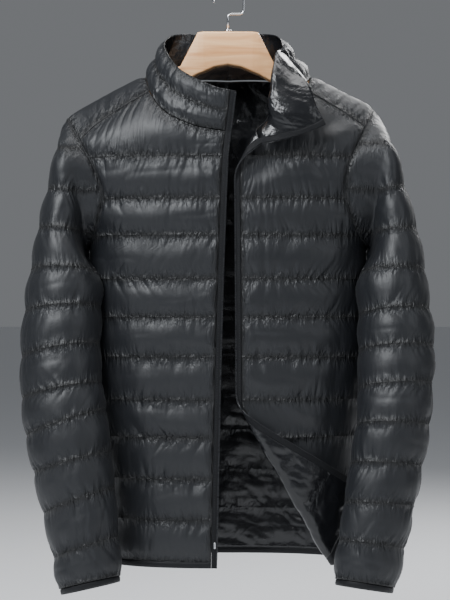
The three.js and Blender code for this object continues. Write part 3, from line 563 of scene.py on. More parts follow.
def crease(x, y, seed, sharpness=2.5):
    """Narrow valleys along the level lines of noise: 1 in a valley, 0 away from it."""
    return np.clip(1 - np.abs(2 * noise(x, y, seed) - 1), 0, 1) ** sharpness


# Puckers by a quilt line
PUCKER_SPACING = 6.5
PUCKER_DEPTH = 3.4
PUCKER_REACH = 10
LONG_SPACING = 19
LONG_DEPTH = 2.2
LONG_REACH = 24
LUMP_SIZE = 46
LUMP_HEIGHT = 0.16
CRUMPLE_SIZE = 20
CRUMPLE_DEPTH = 0.8
TICK_REACH = 8
CRINKLE_SIZE = 28
CRINKLE_BEND = 26


def quilt_height(across, row, channel, seed):
    """Height of a quilted face, 0 to about 1, and its puckers in millimetres.

    across is the length along the channels, row counts quilt lines and channel is their spacing.
    """
    t = row - np.floor(row)
    profile = np.sin(math.pi * np.clip(t, 0, 1)) ** QUILT_ROUNDING
    lump = noise(across / LUMP_SIZE, row * 1.3, seed) - 0.5
    puckers = np.zeros(np.broadcast(across, row).shape)
    for line, gap in ((np.floor(row), t * channel), (np.floor(row) + 1, (1 - t) * channel)):
        lean = (noise(across / 60, line * 7.3, seed + 1) - 0.5) * 1.6
        place = across + lean * gap
        reach = PUCKER_REACH * (0.35 + 1.5 * noise(place / 21, line * 5.1, seed + 2))
        short = crease(place / PUCKER_SPACING, line * 11.7, seed + 3, 3)
        puckers += PUCKER_DEPTH * short * np.exp(-((gap / reach) ** 1.4)) * (1 - np.exp(-gap / 1.5))
        reach = LONG_REACH * (0.3 + 1.2 * noise(place / 47, line * 3.7, seed + 4))
        long = crease(place / LONG_SPACING, line * 13.1, seed + 5, 4)
        puckers += LONG_DEPTH * long * np.exp(-((gap / reach) ** 2)) * (1 - np.exp(-gap / 4))
    slant = across * 0.8 + row * channel * 0.6
    crumple = crease(slant / (2.2 * CRUMPLE_SIZE), row * channel / CRUMPLE_SIZE, seed + 6, 2)
    puckers += CRUMPLE_DEPTH * crumple * profile
    return profile * (1 + 2 * LUMP_HEIGHT * lump), puckers


def edge_gap(grid, ring):
    """Distance of each point from the nearest edge of its piece, along rows and columns."""
    edges = [grid[:, :1], grid[:, -1:]]
    if not ring:
        edges += [grid[:1], grid[-1:]]
    return np.minimum.reduce([length_of(grid - edge) for edge in edges])


def grid_normals(grid, facing, ring=False):
    if ring:
        across = np.roll(grid, -1, axis=0) - np.roll(grid, 1, axis=0)
    else:
        across = np.gradient(grid, axis=0)
    return unit(np.cross(across, np.gradient(grid, axis=1))) * facing


def mesh_object(name, verts, faces, slots=None, materials=(), smooth=True):
    """A mesh in metres from millimetre points and faces of three or four corners."""
    mesh = bpy.data.meshes.new(name)
    verts = np.asarray(verts, float).reshape(-1, 3) * MM
    faces = np.asarray(faces, np.int32)
    mesh.vertices.add(len(verts))
    mesh.vertices.foreach_set("co", verts.astype(np.float32).ravel())
    mesh.loops.add(faces.size)
    mesh.loops.foreach_set("vertex_index", faces.ravel())
    mesh.polygons.add(len(faces))
    mesh.polygons.foreach_set("loop_start", np.arange(0, faces.size, faces.shape[1], dtype=np.int32))
    if slots is not None:
        mesh.polygons.foreach_set("material_index", np.asarray(slots, np.int32))
    mesh.polygons.foreach_set("use_smooth", np.full(len(faces), smooth))
    for material in materials:
        mesh.materials.append(material)
    mesh.update(calc_edges=True)
    mesh.validate()
    piece = bpy.data.objects.new(name, mesh)
    bpy.context.scene.collection.objects.link(piece)
    return piece


BACKWARDS = [0, 3, 2, 1]


def grid_faces(index):
    """Four-cornered faces over a grid of point numbers."""
    return np.stack([index[:-1, :-1], index[:-1, 1:], index[1:, 1:], index[1:, :-1]], axis=-1).reshape(-1, 4)


def looped(values, axis=0):
    return np.concatenate([values, values.take([0], axis)], axis)


def closed_wall(name, inner, outer, facing, materials, ring=False):
    """A closed wall between two grids: materials are for outside, inside and rim."""
    low, high = np.arange(inner.size // 3 * 2).reshape(2, *inner.shape[:2])
    if ring:
        low, high = looped(low), looped(high)
    edges = [np.stack([low[:, 0], high[:, 0]]), np.stack([high[:, -1], low[:, -1]])]
    if not ring:
        edges += [np.stack([low[0], high[0]], axis=1), np.stack([high[-1], low[-1]], axis=1)]
    rim = np.concatenate([grid_faces(edge) for edge in edges])
    parts = [grid_faces(high)[:, BACKWARDS], grid_faces(low), rim]
    slots = np.repeat(np.arange(3), [len(part) for part in parts])
    return mesh_object(name, [inner, outer], np.concatenate(parts)[:, ::facing], slots, materials)


def around(count):
    return np.linspace(0, 2 * math.pi, count + 1)[:-1]


def tube(name, grid, materials, ring=False, ends=True, facing=0):
    """A tube through rings of points, closed to a ring, closed at its ends or left open."""
    index = np.arange(grid.size // 3).reshape(grid.shape[:2])
    faces = grid_faces(looped(looped(index) if ring else index, 1))
    if facing:
        faces = faces[:, BACKWARDS][:, ::facing]
    parts = [faces]
    if ends and not ring:
        k = np.arange(grid.shape[1] // 2 - 1)
        for cap, turned in ((index[0], -1), (index[-1], 1)):
            strips = np.stack([cap[k], cap[k + 1], cap[-2 - k], cap[-1 - k]], axis=-1)
            parts.append(strips[:, :: -turned if facing > 0 else turned])
    return mesh_object(name, grid, np.concatenate(parts), materials=materials)


# Materials
def set_inputs(made, **values):
    """Sets the inputs of a node: a socket is linked, any other value becomes the default."""
    for name, value in values.items():
        socket = made.inputs[name.replace("_", " ")]
        if isinstance(value, bpy.types.NodeSocket):
            made.id_data.links.new(value, socket)
        else:
            socket.default_value = value


class Finish:
    """A material under way. Its methods return sockets, or join them to its shader."""

    def __init__(self, name, color, roughness, **values):
        self.made = bpy.data.materials.new(name)
        self.made.use_nodes = True
        self.shader = self.made.node_tree.nodes["Principled BSDF"]
        set_inputs(self.shader, Base_Color=(*color, 1), Roughness=roughness, **values)

    def node(self, kind, out, values=None, **settings):
        made = self.made.node_tree.nodes.new("ShaderNode" + kind)
        for name, value in settings.items():
            setattr(made, name, value)
        set_inputs(made, **(values or {}))
        return made.outputs[out]

    def place(self, scale=(1, 1, 1)):
        return self.node("Mapping", "Vector", {"Vector": self.node("TexCoord", "Object"), "Scale": scale})

    def bumps(self, *heights):
        """One bump after another: (height socket, strength, distance in metres)."""
        normal = {}
        for height, strength, distance in heights:
            values = {"Height": height, "Strength": strength, "Distance": distance, **normal}
            normal = {"Normal": self.node("Bump", "Normal", values)}
        set_inputs(self.shader, **normal)
        return self.made

    def wrinkles(self, scale, detail=3, distortion=0.0, stretch=(1, 1, 1)):
        values = {"Vector": self.place(stretch), "Scale": scale, "Detail": detail, "Distortion": distortion}
        return self.node("TexNoise", "Fac", values)

    def varied(self, low, high, scale, stretch=(1, 1, 1)):
        """Lets the roughness wander between two values over the piece."""
        values = {"Value": self.wrinkles(scale, stretch=stretch), "From_Min": 0.3, "From_Max": 0.7}
        values.update(To_Min=low, To_Max=high)
        set_inputs(self.shader, Roughness=self.node("MapRange", "Result", values))
        return self.made

    def combined(self, operation, *sockets):
        both = self.node("Math", "Value", operation=operation)
        for socket, place in zip(sockets, both.node.inputs):
            self.made.node_tree.links.new(socket, place)
        return both

    def weave(self, direction, scale):
        values = {"Scale": scale, "Vector": self.place()}
        return self.node("TexWave", "Fac", values, bands_direction=direction)

    def ripstop(self, scale):
        """Two crossed sets of fine threads."""
        return self.combined("ADD", self.weave("X", scale), self.weave("Z", scale))

    def near_lines(self):
        """The value that the mesh carries: 1 at the quilt lines and seams, 0 away from them. It steers the
        wrinkle bumps and the painted shade in the shell's colour.
        """
        return self.node("Attribute", "Fac", attribute_name="ticks")

    def ticks(self, stretch):
        """Short upright wrinkles, only beside the quilt lines and seams."""
        return self.combined("MULTIPLY", self.wrinkles(1, distortion=0.5, stretch=stretch), self.near_lines())

    def colored(self, factor, *stops):
        found = self.node("ValToRGB", "Color", {"Fac": factor})
        for stop, (position, color) in zip(found.node.color_ramp.elements, stops):
            stop.position = position
            stop.color = (*color, 1)
        set_inputs(self.shader, Base_Color=found)


def shell_material():
    shell = Finish("shell_nylon", (0.0095, 0.011, 0.014), 0.47, Sheen_Weight=0.03, Sheen_Roughness=0.35)
    shell.varied(0.43, 0.52, 14)
    # Painted shade: the shell's colour goes nearly black at the quilt lines and seams, where the grooves lie in
    # shade
    shell.colored(shell.near_lines(), (0.45, (0.0088, 0.0100, 0.0125)), (1.0, (0.0015, 0.0018, 0.0023)))
    upright = shell.wrinkles(1, distortion=0.4, stretch=(150, 150, 38))
    fine = shell.wrinkles(95, 4, 0.6)
    ticks = shell.ticks((210, 210, 55))
    heights = ((ticks, 1.0, 0.006), (upright, 0.3, 0.0012), (fine, 0.3, 0.0009))
    return shell.bumps(*heights, (shell.ripstop(900), 0.08, 0.0001))


def lining_material():
    lining = Finish("lining_nylon", (0.008, 0.0085, 0.01), 0.18)
    lining.varied(0.17, 0.28, 22)
    creased = lining.wrinkles(36, distortion=1.2)
    fine = lining.wrinkles(150, distortion=0.8)
    ticks = lining.ticks((130, 130, 70))
    heights = ((ticks, 0.7, 0.003), (creased, 0.3, 0.003), (fine, 0.2, 0.0008))
    return lining.bumps(*heights, (lining.ripstop(900), 0.06, 0.0001))


def binding_material():
    binding = Finish("binding_tape", (0.005, 0.0055, 0.007), 0.5, Specular_IOR_Level=0.3)
    binding.varied(0.45, 0.6, 30)
    folds = binding.wrinkles(1, stretch=(260, 260, 60))
    return binding.bumps((folds, 0.4, 0.0008), (binding.ripstop(1400), 0.2, 0.0002))


def tape_material():
    tape = Finish("zip_tape_weave", (0.005, 0.0055, 0.007), 0.6, Specular_IOR_Level=0.25)
    tape.varied(0.55, 0.68, 40)
    return tape.bumps((tape.ripstop(1100), 0.35, 0.0003))


def thread_material():
    thread = Finish("sewing_thread", (0.011, 0.012, 0.014), 0.6)
    return thread.bumps((thread.weave("DIAGONAL", 900), 0.4, 0.0002))


def wood_material():
    wood = Finish("hanger_wood", (0.76, 0.47, 0.27), 0.4, Coat_Weight=0.25, Coat_Roughness=0.2)
    grain = wood.wrinkles(1.6, 6, 1.2, (5, 26, 60))
    wood.colored(grain, (0.28, (0.74, 0.35, 0.14)), (0.66, (0.98, 0.60, 0.31)))
    return wood.bumps((grain, 0.12, 0.0004))


def steel_material(name, roughness):
    steel = Finish(name, (0.62, 0.63, 0.65), roughness, Metallic=1.0)
    return steel.varied(roughness * 0.8, roughness * 1.4, 1, (30, 30, 900))


BINDING = binding_material()
CLOTH = [shell_material(), lining_material(), BINDING]
TAPE = tape_material()
THREAD = thread_material()
TEETH = Finish("zip_teeth", (0.03, 0.031, 0.034), 0.28).varied(0.24, 0.34, 90)
WOOD = wood_material()
CHROME = steel_material("hook_steel", 0.14)
PIN_STEEL = steel_material("pin_steel", 0.3)


def dress(piece, slot, *nodes):
    """Rides on the one body and stands for its solids."""
    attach(piece, "root")
    if nodes:
        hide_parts(*nodes)
    return piece


STITCH = {"length": 2.4, "gap": 1.1, "radius": 0.38, "sink": 0.12}


def repeated(faces, points_each, count):
    """The faces of one small block for each of its copies."""
    return (np.array(faces)[None] + points_each * np.arange(count)[:, None, None]).reshape(-1, len(faces[0]))


def stitch_row(line, up):
    """Short thread stitches along a line of points that lie on the cloth, with its outward direction."""
    steps = lengths_along(line)
    pitch = STITCH["length"] + STITCH["gap"]
    count = max(int((steps[-1] - 2 * STITCH["gap"]) / pitch), 0)
    starts = STITCH["gap"] + pitch * np.arange(count)
    a, b = (resampled(line, steps, starts + share * STITCH["length"]) for share in (0, 1))
    outward = unit(resampled(up, steps, starts + STITCH["length"] / 2))
    across = unit(np.cross(b - a, outward)) * STITCH["radius"]
    raised = outward * STITCH["radius"]
    sunk = outward * STITCH["sink"]
    middle = (a + b) / 2 + raised - sunk
    corners = [a - sunk, b - sunk, middle + across, middle + raised, middle - across, middle - raised]
    faces = []
    for k in range(4):
        near, far = 2 + k, 2 + (k + 1) % 4
        faces += [(0, far, near), (1, near, far)]
    return np.stack(corners, axis=1).reshape(-1, 3), repeated(faces, 6, count)


def threads(name, rows, slot="shell"):
    """One piece of all stitches along rows of (points, outward directions)."""
    verts, faces = [], []
    for line, up in rows:
        row_verts, row_faces = stitch_row(line, up)
        faces.append(row_faces + sum(map(len, verts)))
        verts.append(row_verts)
    dress(mesh_object(name, np.concatenate(verts), np.concatenate(faces), materials=[THREAD]), slot)


RING_BLEND = 12


def close_ring(values):
    """Blends the last columns of a ring into its first, so that no step shows."""
    last = values.shape[0]
    weight = smoothstep(np.arange(last), last - RING_BLEND, last)[:, None]
    return lerp(values, values[:1], weight)


def padded_piece(
    name, grid, normals, row, seed, press, facing, ring=False, puff=PUFF, channel=CHANNEL, lining=LINING_PUFF,
    least=LEAST_WALL,
):
    """A quilted piece: raised channels and puckers outside, a flatter crinkled lining inside."""
    closed = close_ring if ring else np.asarray
    across = lengths_along(grid)
    fade = np.sin(np.clip(edge_gap(grid, ring) / SEAM_FADE, 0, 1) * math.pi / 2) ** 0.8
    height, puckers = map(closed, quilt_height(across, row, channel, seed))
    inner_height, inner_puckers = map(closed, quilt_height(across, row, channel, seed + 20))
    down = row * channel
    seam = crease(across / PUCKER_SPACING, down / PUCKER_SPACING, seed + 9) * (1 - fade)
    outside = WALL + fade * press * (puff * height - 0.2) - puckers * fade * press**0.5 - 0.5 * seam
    bent = across + CRINKLE_BEND * noise(across / 31, down / 27, seed + 30)
    folds = closed(crease(bent / CRINKLE_SIZE, down / CRINKLE_SIZE + across / 90, seed + 31, 1.6))
    small = closed(crease(across / 9 + down / 23, down / 11, seed + 32, 1.8))
    crinkles = 0.6 * inner_puckers + 1.9 * folds + 0.7 * small
    inside = fade * (lining * (0.35 + inner_height) - lining / LINING_PUFF * crinkles)
    outer = grid + normals * np.maximum(outside, least)[..., None]
    inner = grid - normals * np.maximum(inside, 0)[..., None]
    piece = closed_wall(name, inner, outer, facing, CLOTH, ring)
    # Nearness to the quilt lines and seams, kept on the mesh for the wrinkle bumps and the painted shade in the
    # shell's colour
    to_line = np.minimum(row - np.floor(row), np.ceil(row) - row) * channel
    near = np.exp(-((np.minimum(to_line, edge_gap(grid, ring)) / TICK_REACH) ** 1.3))
    ticks = piece.data.attributes.new("ticks", "FLOAT", "POINT")
    ticks.data.foreach_set("value", np.r_[near.ravel(), near.ravel()].astype(np.float32))
    return piece, outer


def line_stitches(outer, normals, rows_at):
    """Rows of stitches along whole columns of a grid, at the given row numbers."""
    return [(outer[:, j], normals[:, j]) for j in rows_at]


def piece_rows(lines, a_channel):
    return np.linspace(0, lines, lines * a_channel + 1)


SEAM_THREAD = {"radius": 0.75, "sides": 8, "twist": 2.2, "step": 1.6, "swell": 0.12}


def seam_thread(name, line, up, lift=WALL / 2, ring=False):
    """One thread laid along a seam between two pieces, with the swell of its twist."""
    line = line + up * lift
    if ring:
        line, up = looped(line), looped(up)
    steps = lengths_along(line)
    at = np.linspace(0, steps[-1], int(steps[-1] / SEAM_THREAD["step"]) + 1)
    line = resampled(line, steps, at)
    outward = unit(resampled(up, steps, at))
    across = unit(np.cross(np.gradient(line, axis=0), outward))
    turn = around(SEAM_THREAD["sides"])[None, :, None]
    swell = 1 + SEAM_THREAD["swell"] * np.sin(at * 2 * math.pi / SEAM_THREAD["twist"])
    radius = SEAM_THREAD["radius"] * swell[:, None, None]
    grid = line[:, None] + radius * (across[:, None] * np.cos(turn) + outward[:, None] * np.sin(turn))
    dress(tube(name, grid[:-1] if ring else grid, [THREAD], ring, ends=False), "shell")


# Fronts
for side, seed in (("left", 11), ("right", 41)):
    columns = np.linspace(0, front_columns(side), ACROSS["front"] + 1)
    rows = piece_rows(LAST_LINE + 1, ROWS_A_CHANNEL)
    x, z = front_place(side, columns[:, None], rows)
    grid = front_at(side, x, z)
    normals = front_direction(side, x, z)
    press = press_at(side, x, z) * under_arm_press(grid, "body")
    piece, outer = padded_piece(f"front_{side}_cloth", grid, normals, rows + 0 * x, seed, press, SIGN[side])
    dress(piece, "shell", f"front_{side}")
    threads(f"front_{side}_stitches", line_stitches(outer, normals, range(0, len(rows) - 1, ROWS_A_CHANNEL)))
    seam_thread(f"hem_{side}_seam", grid[:, 0] - points(0, 0, SEAM_GAP / 2), normals[:, 0])
    below = z[-1] <= UNDERARM
    side_line = grid[-1] + normals[-1] * WALL / 2
    side_line[:, 1] = 0
    seam_thread(f"side_{side}_seam", side_line[below], normals[-1][below], 0)
    shoulder = columns >= FRONT_NECK_COLUMNS[side]
    seam_thread(f"shoulder_{side}_seam", grid[shoulder, -1], normals[shoulder, -1], WALL)

# Back
half = BACK_NECK_COLUMNS + SEAM_COLUMNS


def back_at(spread, row):
    """The back by its column to the right of the middle, left ones negative."""
    x, z = back_place("left", np.abs(spread), row)
    right_x, right_z = back_place("right", np.abs(spread), row)
    x = np.where(spread < 0, -x, right_x)
    z = np.where(spread < 0, z, right_z)
    return back_point(1, x, z)


spread = np.linspace(-half, half, ACROSS["back"] + 1)
rows = piece_rows(LAST_LINE + BACK_TOP_CHANNELS, BACK_ROWS)
grid = back_at(spread[:, None], rows)
normals = body_normal(grid)
numbers = rows + 0 * grid[..., 0]
piece, outer = padded_piece("back_cloth", grid, normals, numbers, 71, under_arm_press(grid, "body"), -1)
dress(piece, "shell", "back")
threads("back_stitches", line_stitches(outer, normals, range(0, len(rows) - 1, BACK_ROWS)))
seam_thread("hem_back_seam", grid[:, 0], normals[:, 0])
for side in SIGN:
    shoulder = SIGN[side] * spread >= BACK_NECK_COLUMNS
    seam_thread(f"back_yoke_{side}_seam", grid[shoulder, -1], normals[shoulder, -1], WALL)

# Yokes
for side, seed in (("left", 101), ("right", 121)):
    share = np.linspace(0, 1, ACROSS["yoke"] + 1)[:, None]
    turn = np.linspace(-1, 1, ACROSS["yoke"] + 1)[None, :]
    grid = yoke_point(side, share, turn)
    numbers = (turn + 1) / 2 + 0 * share
    looks = {"puff": YOKE_PUFF, "channel": YOKE_CHANNEL, "lining": 0}
    name = f"yoke_{side}_cloth"
    piece, outer = padded_piece(name, grid, body_normal(grid), numbers, seed, 1, SIGN[side], **looks)
    dress(piece, "shell", f"yoke_{side}")

# Collar
def neckline(side, per_step):
    """Neckline of one side from the front end to the middle of the back, with its column numbers."""
    count = FRONT_NECK_COLUMNS[side]
    front = piece_rows(count, per_step)
    steps = piece_rows(YOKE_STEPS, per_step)[1:-1]
    back = piece_rows(BACK_NECK_COLUMNS, per_step)[::-1]
    parts = [
        front_at(side, *front_top(side, front)),
        yoke_point(side, 0, 2 * steps / YOKE_STEPS - 1),
        back_point(SIGN[side], *back_top(side, back)),
    ]
    return np.concatenate(parts), np.r_[front, count + steps, count + YOKE_STEPS + BACK_NECK_COLUMNS - back]


def along_all(rows, share):
    return points(*(along(rows, share, name, "share") for name in "xyz"))


def collar_half(side, per_step=10):
    base, numbers = neckline(side, per_step)
    lengths = lengths_along(base)
    share = lengths / lengths[-1]
    top = along_all(COLLAR_TOP[side], share)
    top[:, 0] *= SIGN[side]
    middle = (base + top) / 2
    lift = np.zeros(len(base))
    if side == "right":
        rolled = along_all(COLLAR_ROLL, share)
        here = share <= COLLAR_ROLL["share"][-1]
        lift = np.where(here, np.minimum(COLLAR_LIFT, length_of(rolled - middle) / 2), 0)
        middle = np.where(here[:, None], 2 * rolled - middle, middle)
    return {"base": base, "middle": middle, "top": top, "lift": lift, "numbers": numbers}


def bezier(start, middle, end, share):
    return (1 - share) ** 2 * start + 2 * share * (1 - share) * middle + share**2 * end


def collar_points(half_collar, up):
    """Places on one half of the collar: up 0 on the neckline to 1 on the top edge."""
    base, middle, top = half_collar["base"], half_collar["middle"], half_collar["top"]
    start = unit(middle - base)
    outwards = np.abs((start * body_normal(base)).sum(axis=-1))
    rise = SEAM_GAP + np.maximum(COLLAR_CLEARANCE * outwards, half_collar["lift"])
    foot = base + start * rise[:, None]
    return bezier(foot[:, None], middle[:, None], top[:, None], up[:, None])


collars = {side: collar_half(side) for side in SIGN}
up = np.linspace(0, 1, COLLAR_CHANNELS * COLLAR_ROWS + 1)
left_half = collar_points(collars["left"], up)
right_half = collar_points(collars["right"], up)
grid = np.concatenate([left_half, right_half[::-1][1:]])
from_right = np.r_[np.full(len(left_half), COLLAR_PRESSED["to"]), collars["right"]["numbers"][::-1][1:]]
press = lerp(PRESSED, 1, smoothstep(from_right, COLLAR_PRESSED["from"], COLLAR_PRESSED["to"]))[:, None]
normals = grid_normals(grid, -1)
numbers = COLLAR_CHANNELS * up + 0 * press
looks = {"puff": COLLAR_PUFF, "channel": COLLAR_CHANNEL, "lining": COLLAR_LINING_PUFF}
piece, outer = padded_piece("collar_cloth", grid, normals, numbers, 141, press, -1, **looks)
dress(piece, "shell", "collar")
threads("collar_stitches", line_stitches(outer, normals, [COLLAR_ROWS]))


# Sleeves and cuffs
def armhole_point(side, turn):
    z = lerp(ARMHOLE[side]["z"][-1], UNDERARM, (1 - np.cos(turn)) / 2)
    x = side_edge(side, z)
    front, back = front_point(side, x, z), back_point(SIGN[side], x, z)
    return np.where(np.sin(turn)[:, None] > 0, front, back)


def sleeve_ring(side, row, turn):
    ring = {name: values[row] for name, values in SLEEVE[side].items()}
    middle_x = (ring["outer_x"] + ring["inner_x"]) / 2
    half_width = (ring["outer_x"] - ring["inner_x"]) / 2
    down = ((1 - np.cos(turn)) / 2) ** ring["dip"]
    forward = np.sin(turn) * ring["half_depth"]
    lean = 0 if row < SLEEVE_CAP_RINGS else SLEEVE_LEAN
    x = SIGN[side] * (middle_x + half_width * np.cos(turn))
    return points(x, ring["y"] - forward, lerp(ring["outer_z"], ring["inner_z"], down) + lean * forward)


def beside_body(place):
    """Moves places on the sleeve below the armhole out of the body until they are clear of it."""
    share = smoothstep(UNDERARM - UNDERARM_AIR - place[..., 2], 0, SLEEVE_OPENING)
    for _ in range(CLEARING_STEPS):
        short = np.where(share > 0, np.maximum(share * SLEEVE_AIR - body_distance(place), 0), 0)
        place = place + body_normal(place) * short[..., None]
    return place


def sleeve_lines(side, grid, turn):
    """Quilt line number of each place on the sleeve, by its height: the lines lie nearly level."""
    ring = SLEEVE[side]
    outer = np.r_[ARMHOLE[side]["z"][-1], ring["outer_z"]]
    inner = np.r_[SLEEVE_LEVELS, ring["inner_z"][len(SLEEVE_LEVELS) - 1 :]]
    number = np.arange(len(outer))
    depth = np.r_[ring["half_depth"][0], ring["half_depth"]] * np.minimum(number / len(SLEEVE_LEVELS), 1)
    lines = np.empty(grid.shape[:2])
    for column, angle in enumerate(turn):
        level = lerp(outer, inner, (1 - math.cos(angle)) / 2) + SLEEVE_LEAN * depth * math.sin(angle)
        lines[column] = np.interp(-grid[column, :, 2], -level, number)
    return lines


def crossings(values, number, outer, normals):
    """Stretches of a quilt line over a grid whose line numbers are given."""
    stretches, line = [], []
    for column, along_it in enumerate(values):
        step = int(np.argmax(along_it >= number))
        if step == 0:
            stretches.append(line)
            line = []
            continue
        share = (number - along_it[step - 1]) / (along_it[step] - along_it[step - 1])
        line.append([lerp(rows[column, step - 1], rows[column, step], share) for rows in (outer, normals)])
    stretches.append(line)
    return [tuple(np.array(found).transpose(1, 0, 2)) for found in stretches if len(found) > 1]


def under_arm_fill(place):
    """Least height of the sleeve under the arm, where it closes up to the body's side."""
    rows = UNDERARM_FILL
    below = UNDERARM - place[..., 2]
    from_body = body_distance(place)
    near = smoothstep(below, 0, rows["from"]) * (1 - smoothstep(below, rows["to"], rows["end"]))
    room = from_body - rows["air"] - rows["body"] * smoothstep(below, rows["from"], rows["to"])
    least = lerp(LEAST_WALL, np.clip(room, LEAST_WALL, rows["most"]), near)
    return np.where(from_body < rows["reach"], least, LEAST_WALL)


sleeve_turn = 2 * math.pi * (np.arange(ACROSS["sleeve"]) + 0.5) / ACROSS["sleeve"]
for side, seed in (("left", 161), ("right", 191)):
    lines = len(SLEEVE[side]["y"])
    edge = armhole_point(side, sleeve_turn)
    edge_normal = body_normal(edge)
    edge[:, 0] += SIGN[side] * SLEEVE_SEAM_GAP
    edge[:, 2] -= SHOULDER_SLOPE * SLEEVE_SEAM_GAP * np.maximum(np.cos(sleeve_turn), 0)
    rings = [sleeve_ring(side, row, sleeve_turn) for row in range(lines)]
    rows = piece_rows(lines, SLEEVE_ROWS)
    grid = beside_body(catmull(np.stack([edge, *rings]), rows / lines).transpose(1, 0, 2))
    blend = np.clip(rows * SLEEVE_ROWS / 6, 0, 1)[None, :, None]
    normals = unit(lerp(edge_normal[:, None], grid_normals(grid, SIGN[side], ring=True), blend))
    numbers = sleeve_lines(side, grid, sleeve_turn)
    press = under_arm_press(grid, "sleeve")
    looks = {"ring": True, "puff": SLEEVE_PUFF, "least": under_arm_fill(grid)}
    name = f"sleeve_{side}_cloth"
    piece, outer = padded_piece(name, grid, normals, numbers, seed, press, SIGN[side], **looks)
    dress(piece, "shell", f"sleeve_{side}")
    seam = edge - points(SIGN[side] * SLEEVE_SEAM_GAP / 2, 0, 0)
    seam_thread(f"armhole_{side}_seam", seam, edge_normal, ring=True)
    sewn = [line for number in range(1, lines) for line in crossings(numbers, number, outer, normals)]
    threads(f"sleeve_{side}_stitches", sewn)

# Flat widths of what shows, in metres
BINDING_FLAT = 0.0115
TAPE_FLAT = 0.0105
BINDING_THICK = 3.0
BINDING_SIDES = 16
CUFF_POINTS = 180


def bound_edge(name, foot, tip, normals, facing, ring=False):
    """A binding: a strip from foot to tip with a rounded section and small puckers."""
    turn = around(BINDING_SIDES)[None, :, None]
    rounded = np.copysign(np.abs(np.cos(turn)) ** 0.6, np.cos(turn))
    centre = (foot + tip) / 2 + normals * BINDING_THICK / 2
    lengths = lengths_along(foot)
    swell = 1 + 0.16 * (noise(lengths / 5, 3.3, 301) - 0.5) + 0.2 * (noise(lengths / 23, 7.7, 302) - 0.5)
    high = normals * (BINDING_THICK / 2 * swell)[:, None]
    grid = centre[:, None] + ((tip - foot) / 2)[:, None] * rounded + high[:, None] * np.sin(turn)
    return tube(name, grid, [BINDING], ring, facing=facing)


def length_in_metres(line):
    return float(lengths_along(line)[-1] * MM)


for side in SIGN:
    last = len(SLEEVE[side]["y"]) - 1
    above, edge = (sleeve_ring(side, row, around(CUFF_POINTS)) for row in (last - 1, last))
    onward = unit(edge - above)
    across = np.roll(edge, -1, axis=0) - np.roll(edge, 1, axis=0)
    out = unit(np.cross(across, onward)) * -SIGN[side]
    foot, tip = (edge + onward * reach for reach in (SEAM_GAP, CUFF_LENGTH))
    piece = bound_edge(f"cuff_{side}_binding", foot, tip, out, SIGN[side], ring=True)
    dress(piece, "binding", f"cuff_{side}")
    flat = (BINDING_FLAT, length_in_metres(looped(edge)))


# Hem binding: left front, back and right front in one strip
def hem_of_front(side, row):
    columns = np.linspace(0, front_columns(side), ACROSS["hem"] // 4 + 1)
    place = front_place(side, columns, row)
    return front_at(side, *place), front_direction(side, *place)


def hem_line(row):
    back = back_at(np.linspace(-half, half, ACROSS["hem"] // 2 + 1)[1:-1], row)
    left, right = hem_of_front("left", row), hem_of_front("right", row)
    parts = zip(left, (back, body_normal(back)), (found[::-1] for found in right))
    return [np.concatenate(part) for part in parts]


(low_line, _), (high_line, out) = hem_line(HEM_ROWS[0]), hem_line(HEM_ROWS[1])
piece = bound_edge("hem_binding_strip", high_line, low_line, out, 1)
dress(piece, "binding", "hem_binding")

# Zip tapes, with their teeth and the rows of sewing
TAPE_WALL = 1.2
TOOTH = {"pitch": 2.1, "length": 2.2, "height": 1.5, "width": 1.3, "in": 0.6}
TAPE_STEPS = 6
STITCH_LIFT = 0.05
COLLAR_END = {"points": 12, "inner": 10, "rows": 41, "hidden": 3}
RIB = {"count": 3, "height": 0.12}


def tape_rows(side):
    """Rows up the tape: (places across it from the cloth outwards, direction)."""
    reach = np.linspace(SEAM_GAP, TAPE_WIDTH, TAPE_STEPS + 1)
    x, z = front_place(side, 0, np.r_[HEM_ROWS, piece_rows(LAST_LINE + 1, ROWS_A_CHANNEL)])
    on_front = np.stack([front_at(side, x - out, z) for out in reach])
    end = {name: values[: COLLAR_END["points"]] for name, values in collars[side].items()}
    edge = collar_points(end, np.linspace(0, 1, COLLAR_END["rows"])[COLLAR_END["hidden"] :])
    out = unit(edge[0] - edge[COLLAR_END["inner"]])
    on_collar = edge[0] + out * (reach + SEAM_GAP)[:, None, None]
    collar_direction = unit(np.cross(end["top"][0] - end["base"][0], out)) * SIGN[side]
    direction = np.concatenate([front_direction(side, x, z), collar_direction])
    return np.concatenate([on_front, on_collar], axis=1), unit(direction)


def blocks(name, centres, upwards, outward, sizes, materials):
    """Small bevelled blocks at places along a line."""
    across, onward, out = (
        size / 2 * way for size, way in zip(sizes, (unit(np.cross(upwards, outward)), upwards, outward))
    )
    corners = []
    for lift, inset in ((-1, 1.0), (0.4, 1.0), (1, 0.55)):
        for a, b in ((-1, -1), (1, -1), (1, 1), (-1, 1)):
            corners.append(centres + inset * (a * across + b * onward) + lift * out)
    faces = [(3, 2, 1, 0), (8, 9, 10, 11)]
    for level in (0, 4):
        for k in range(4):
            n = (k + 1) % 4
            faces.append((level + k, level + n, level + 4 + n, level + 4 + k))
    faces = repeated(faces, len(corners), len(centres))
    return mesh_object(name, np.stack(corners, axis=1), faces, materials=materials, smooth=False)


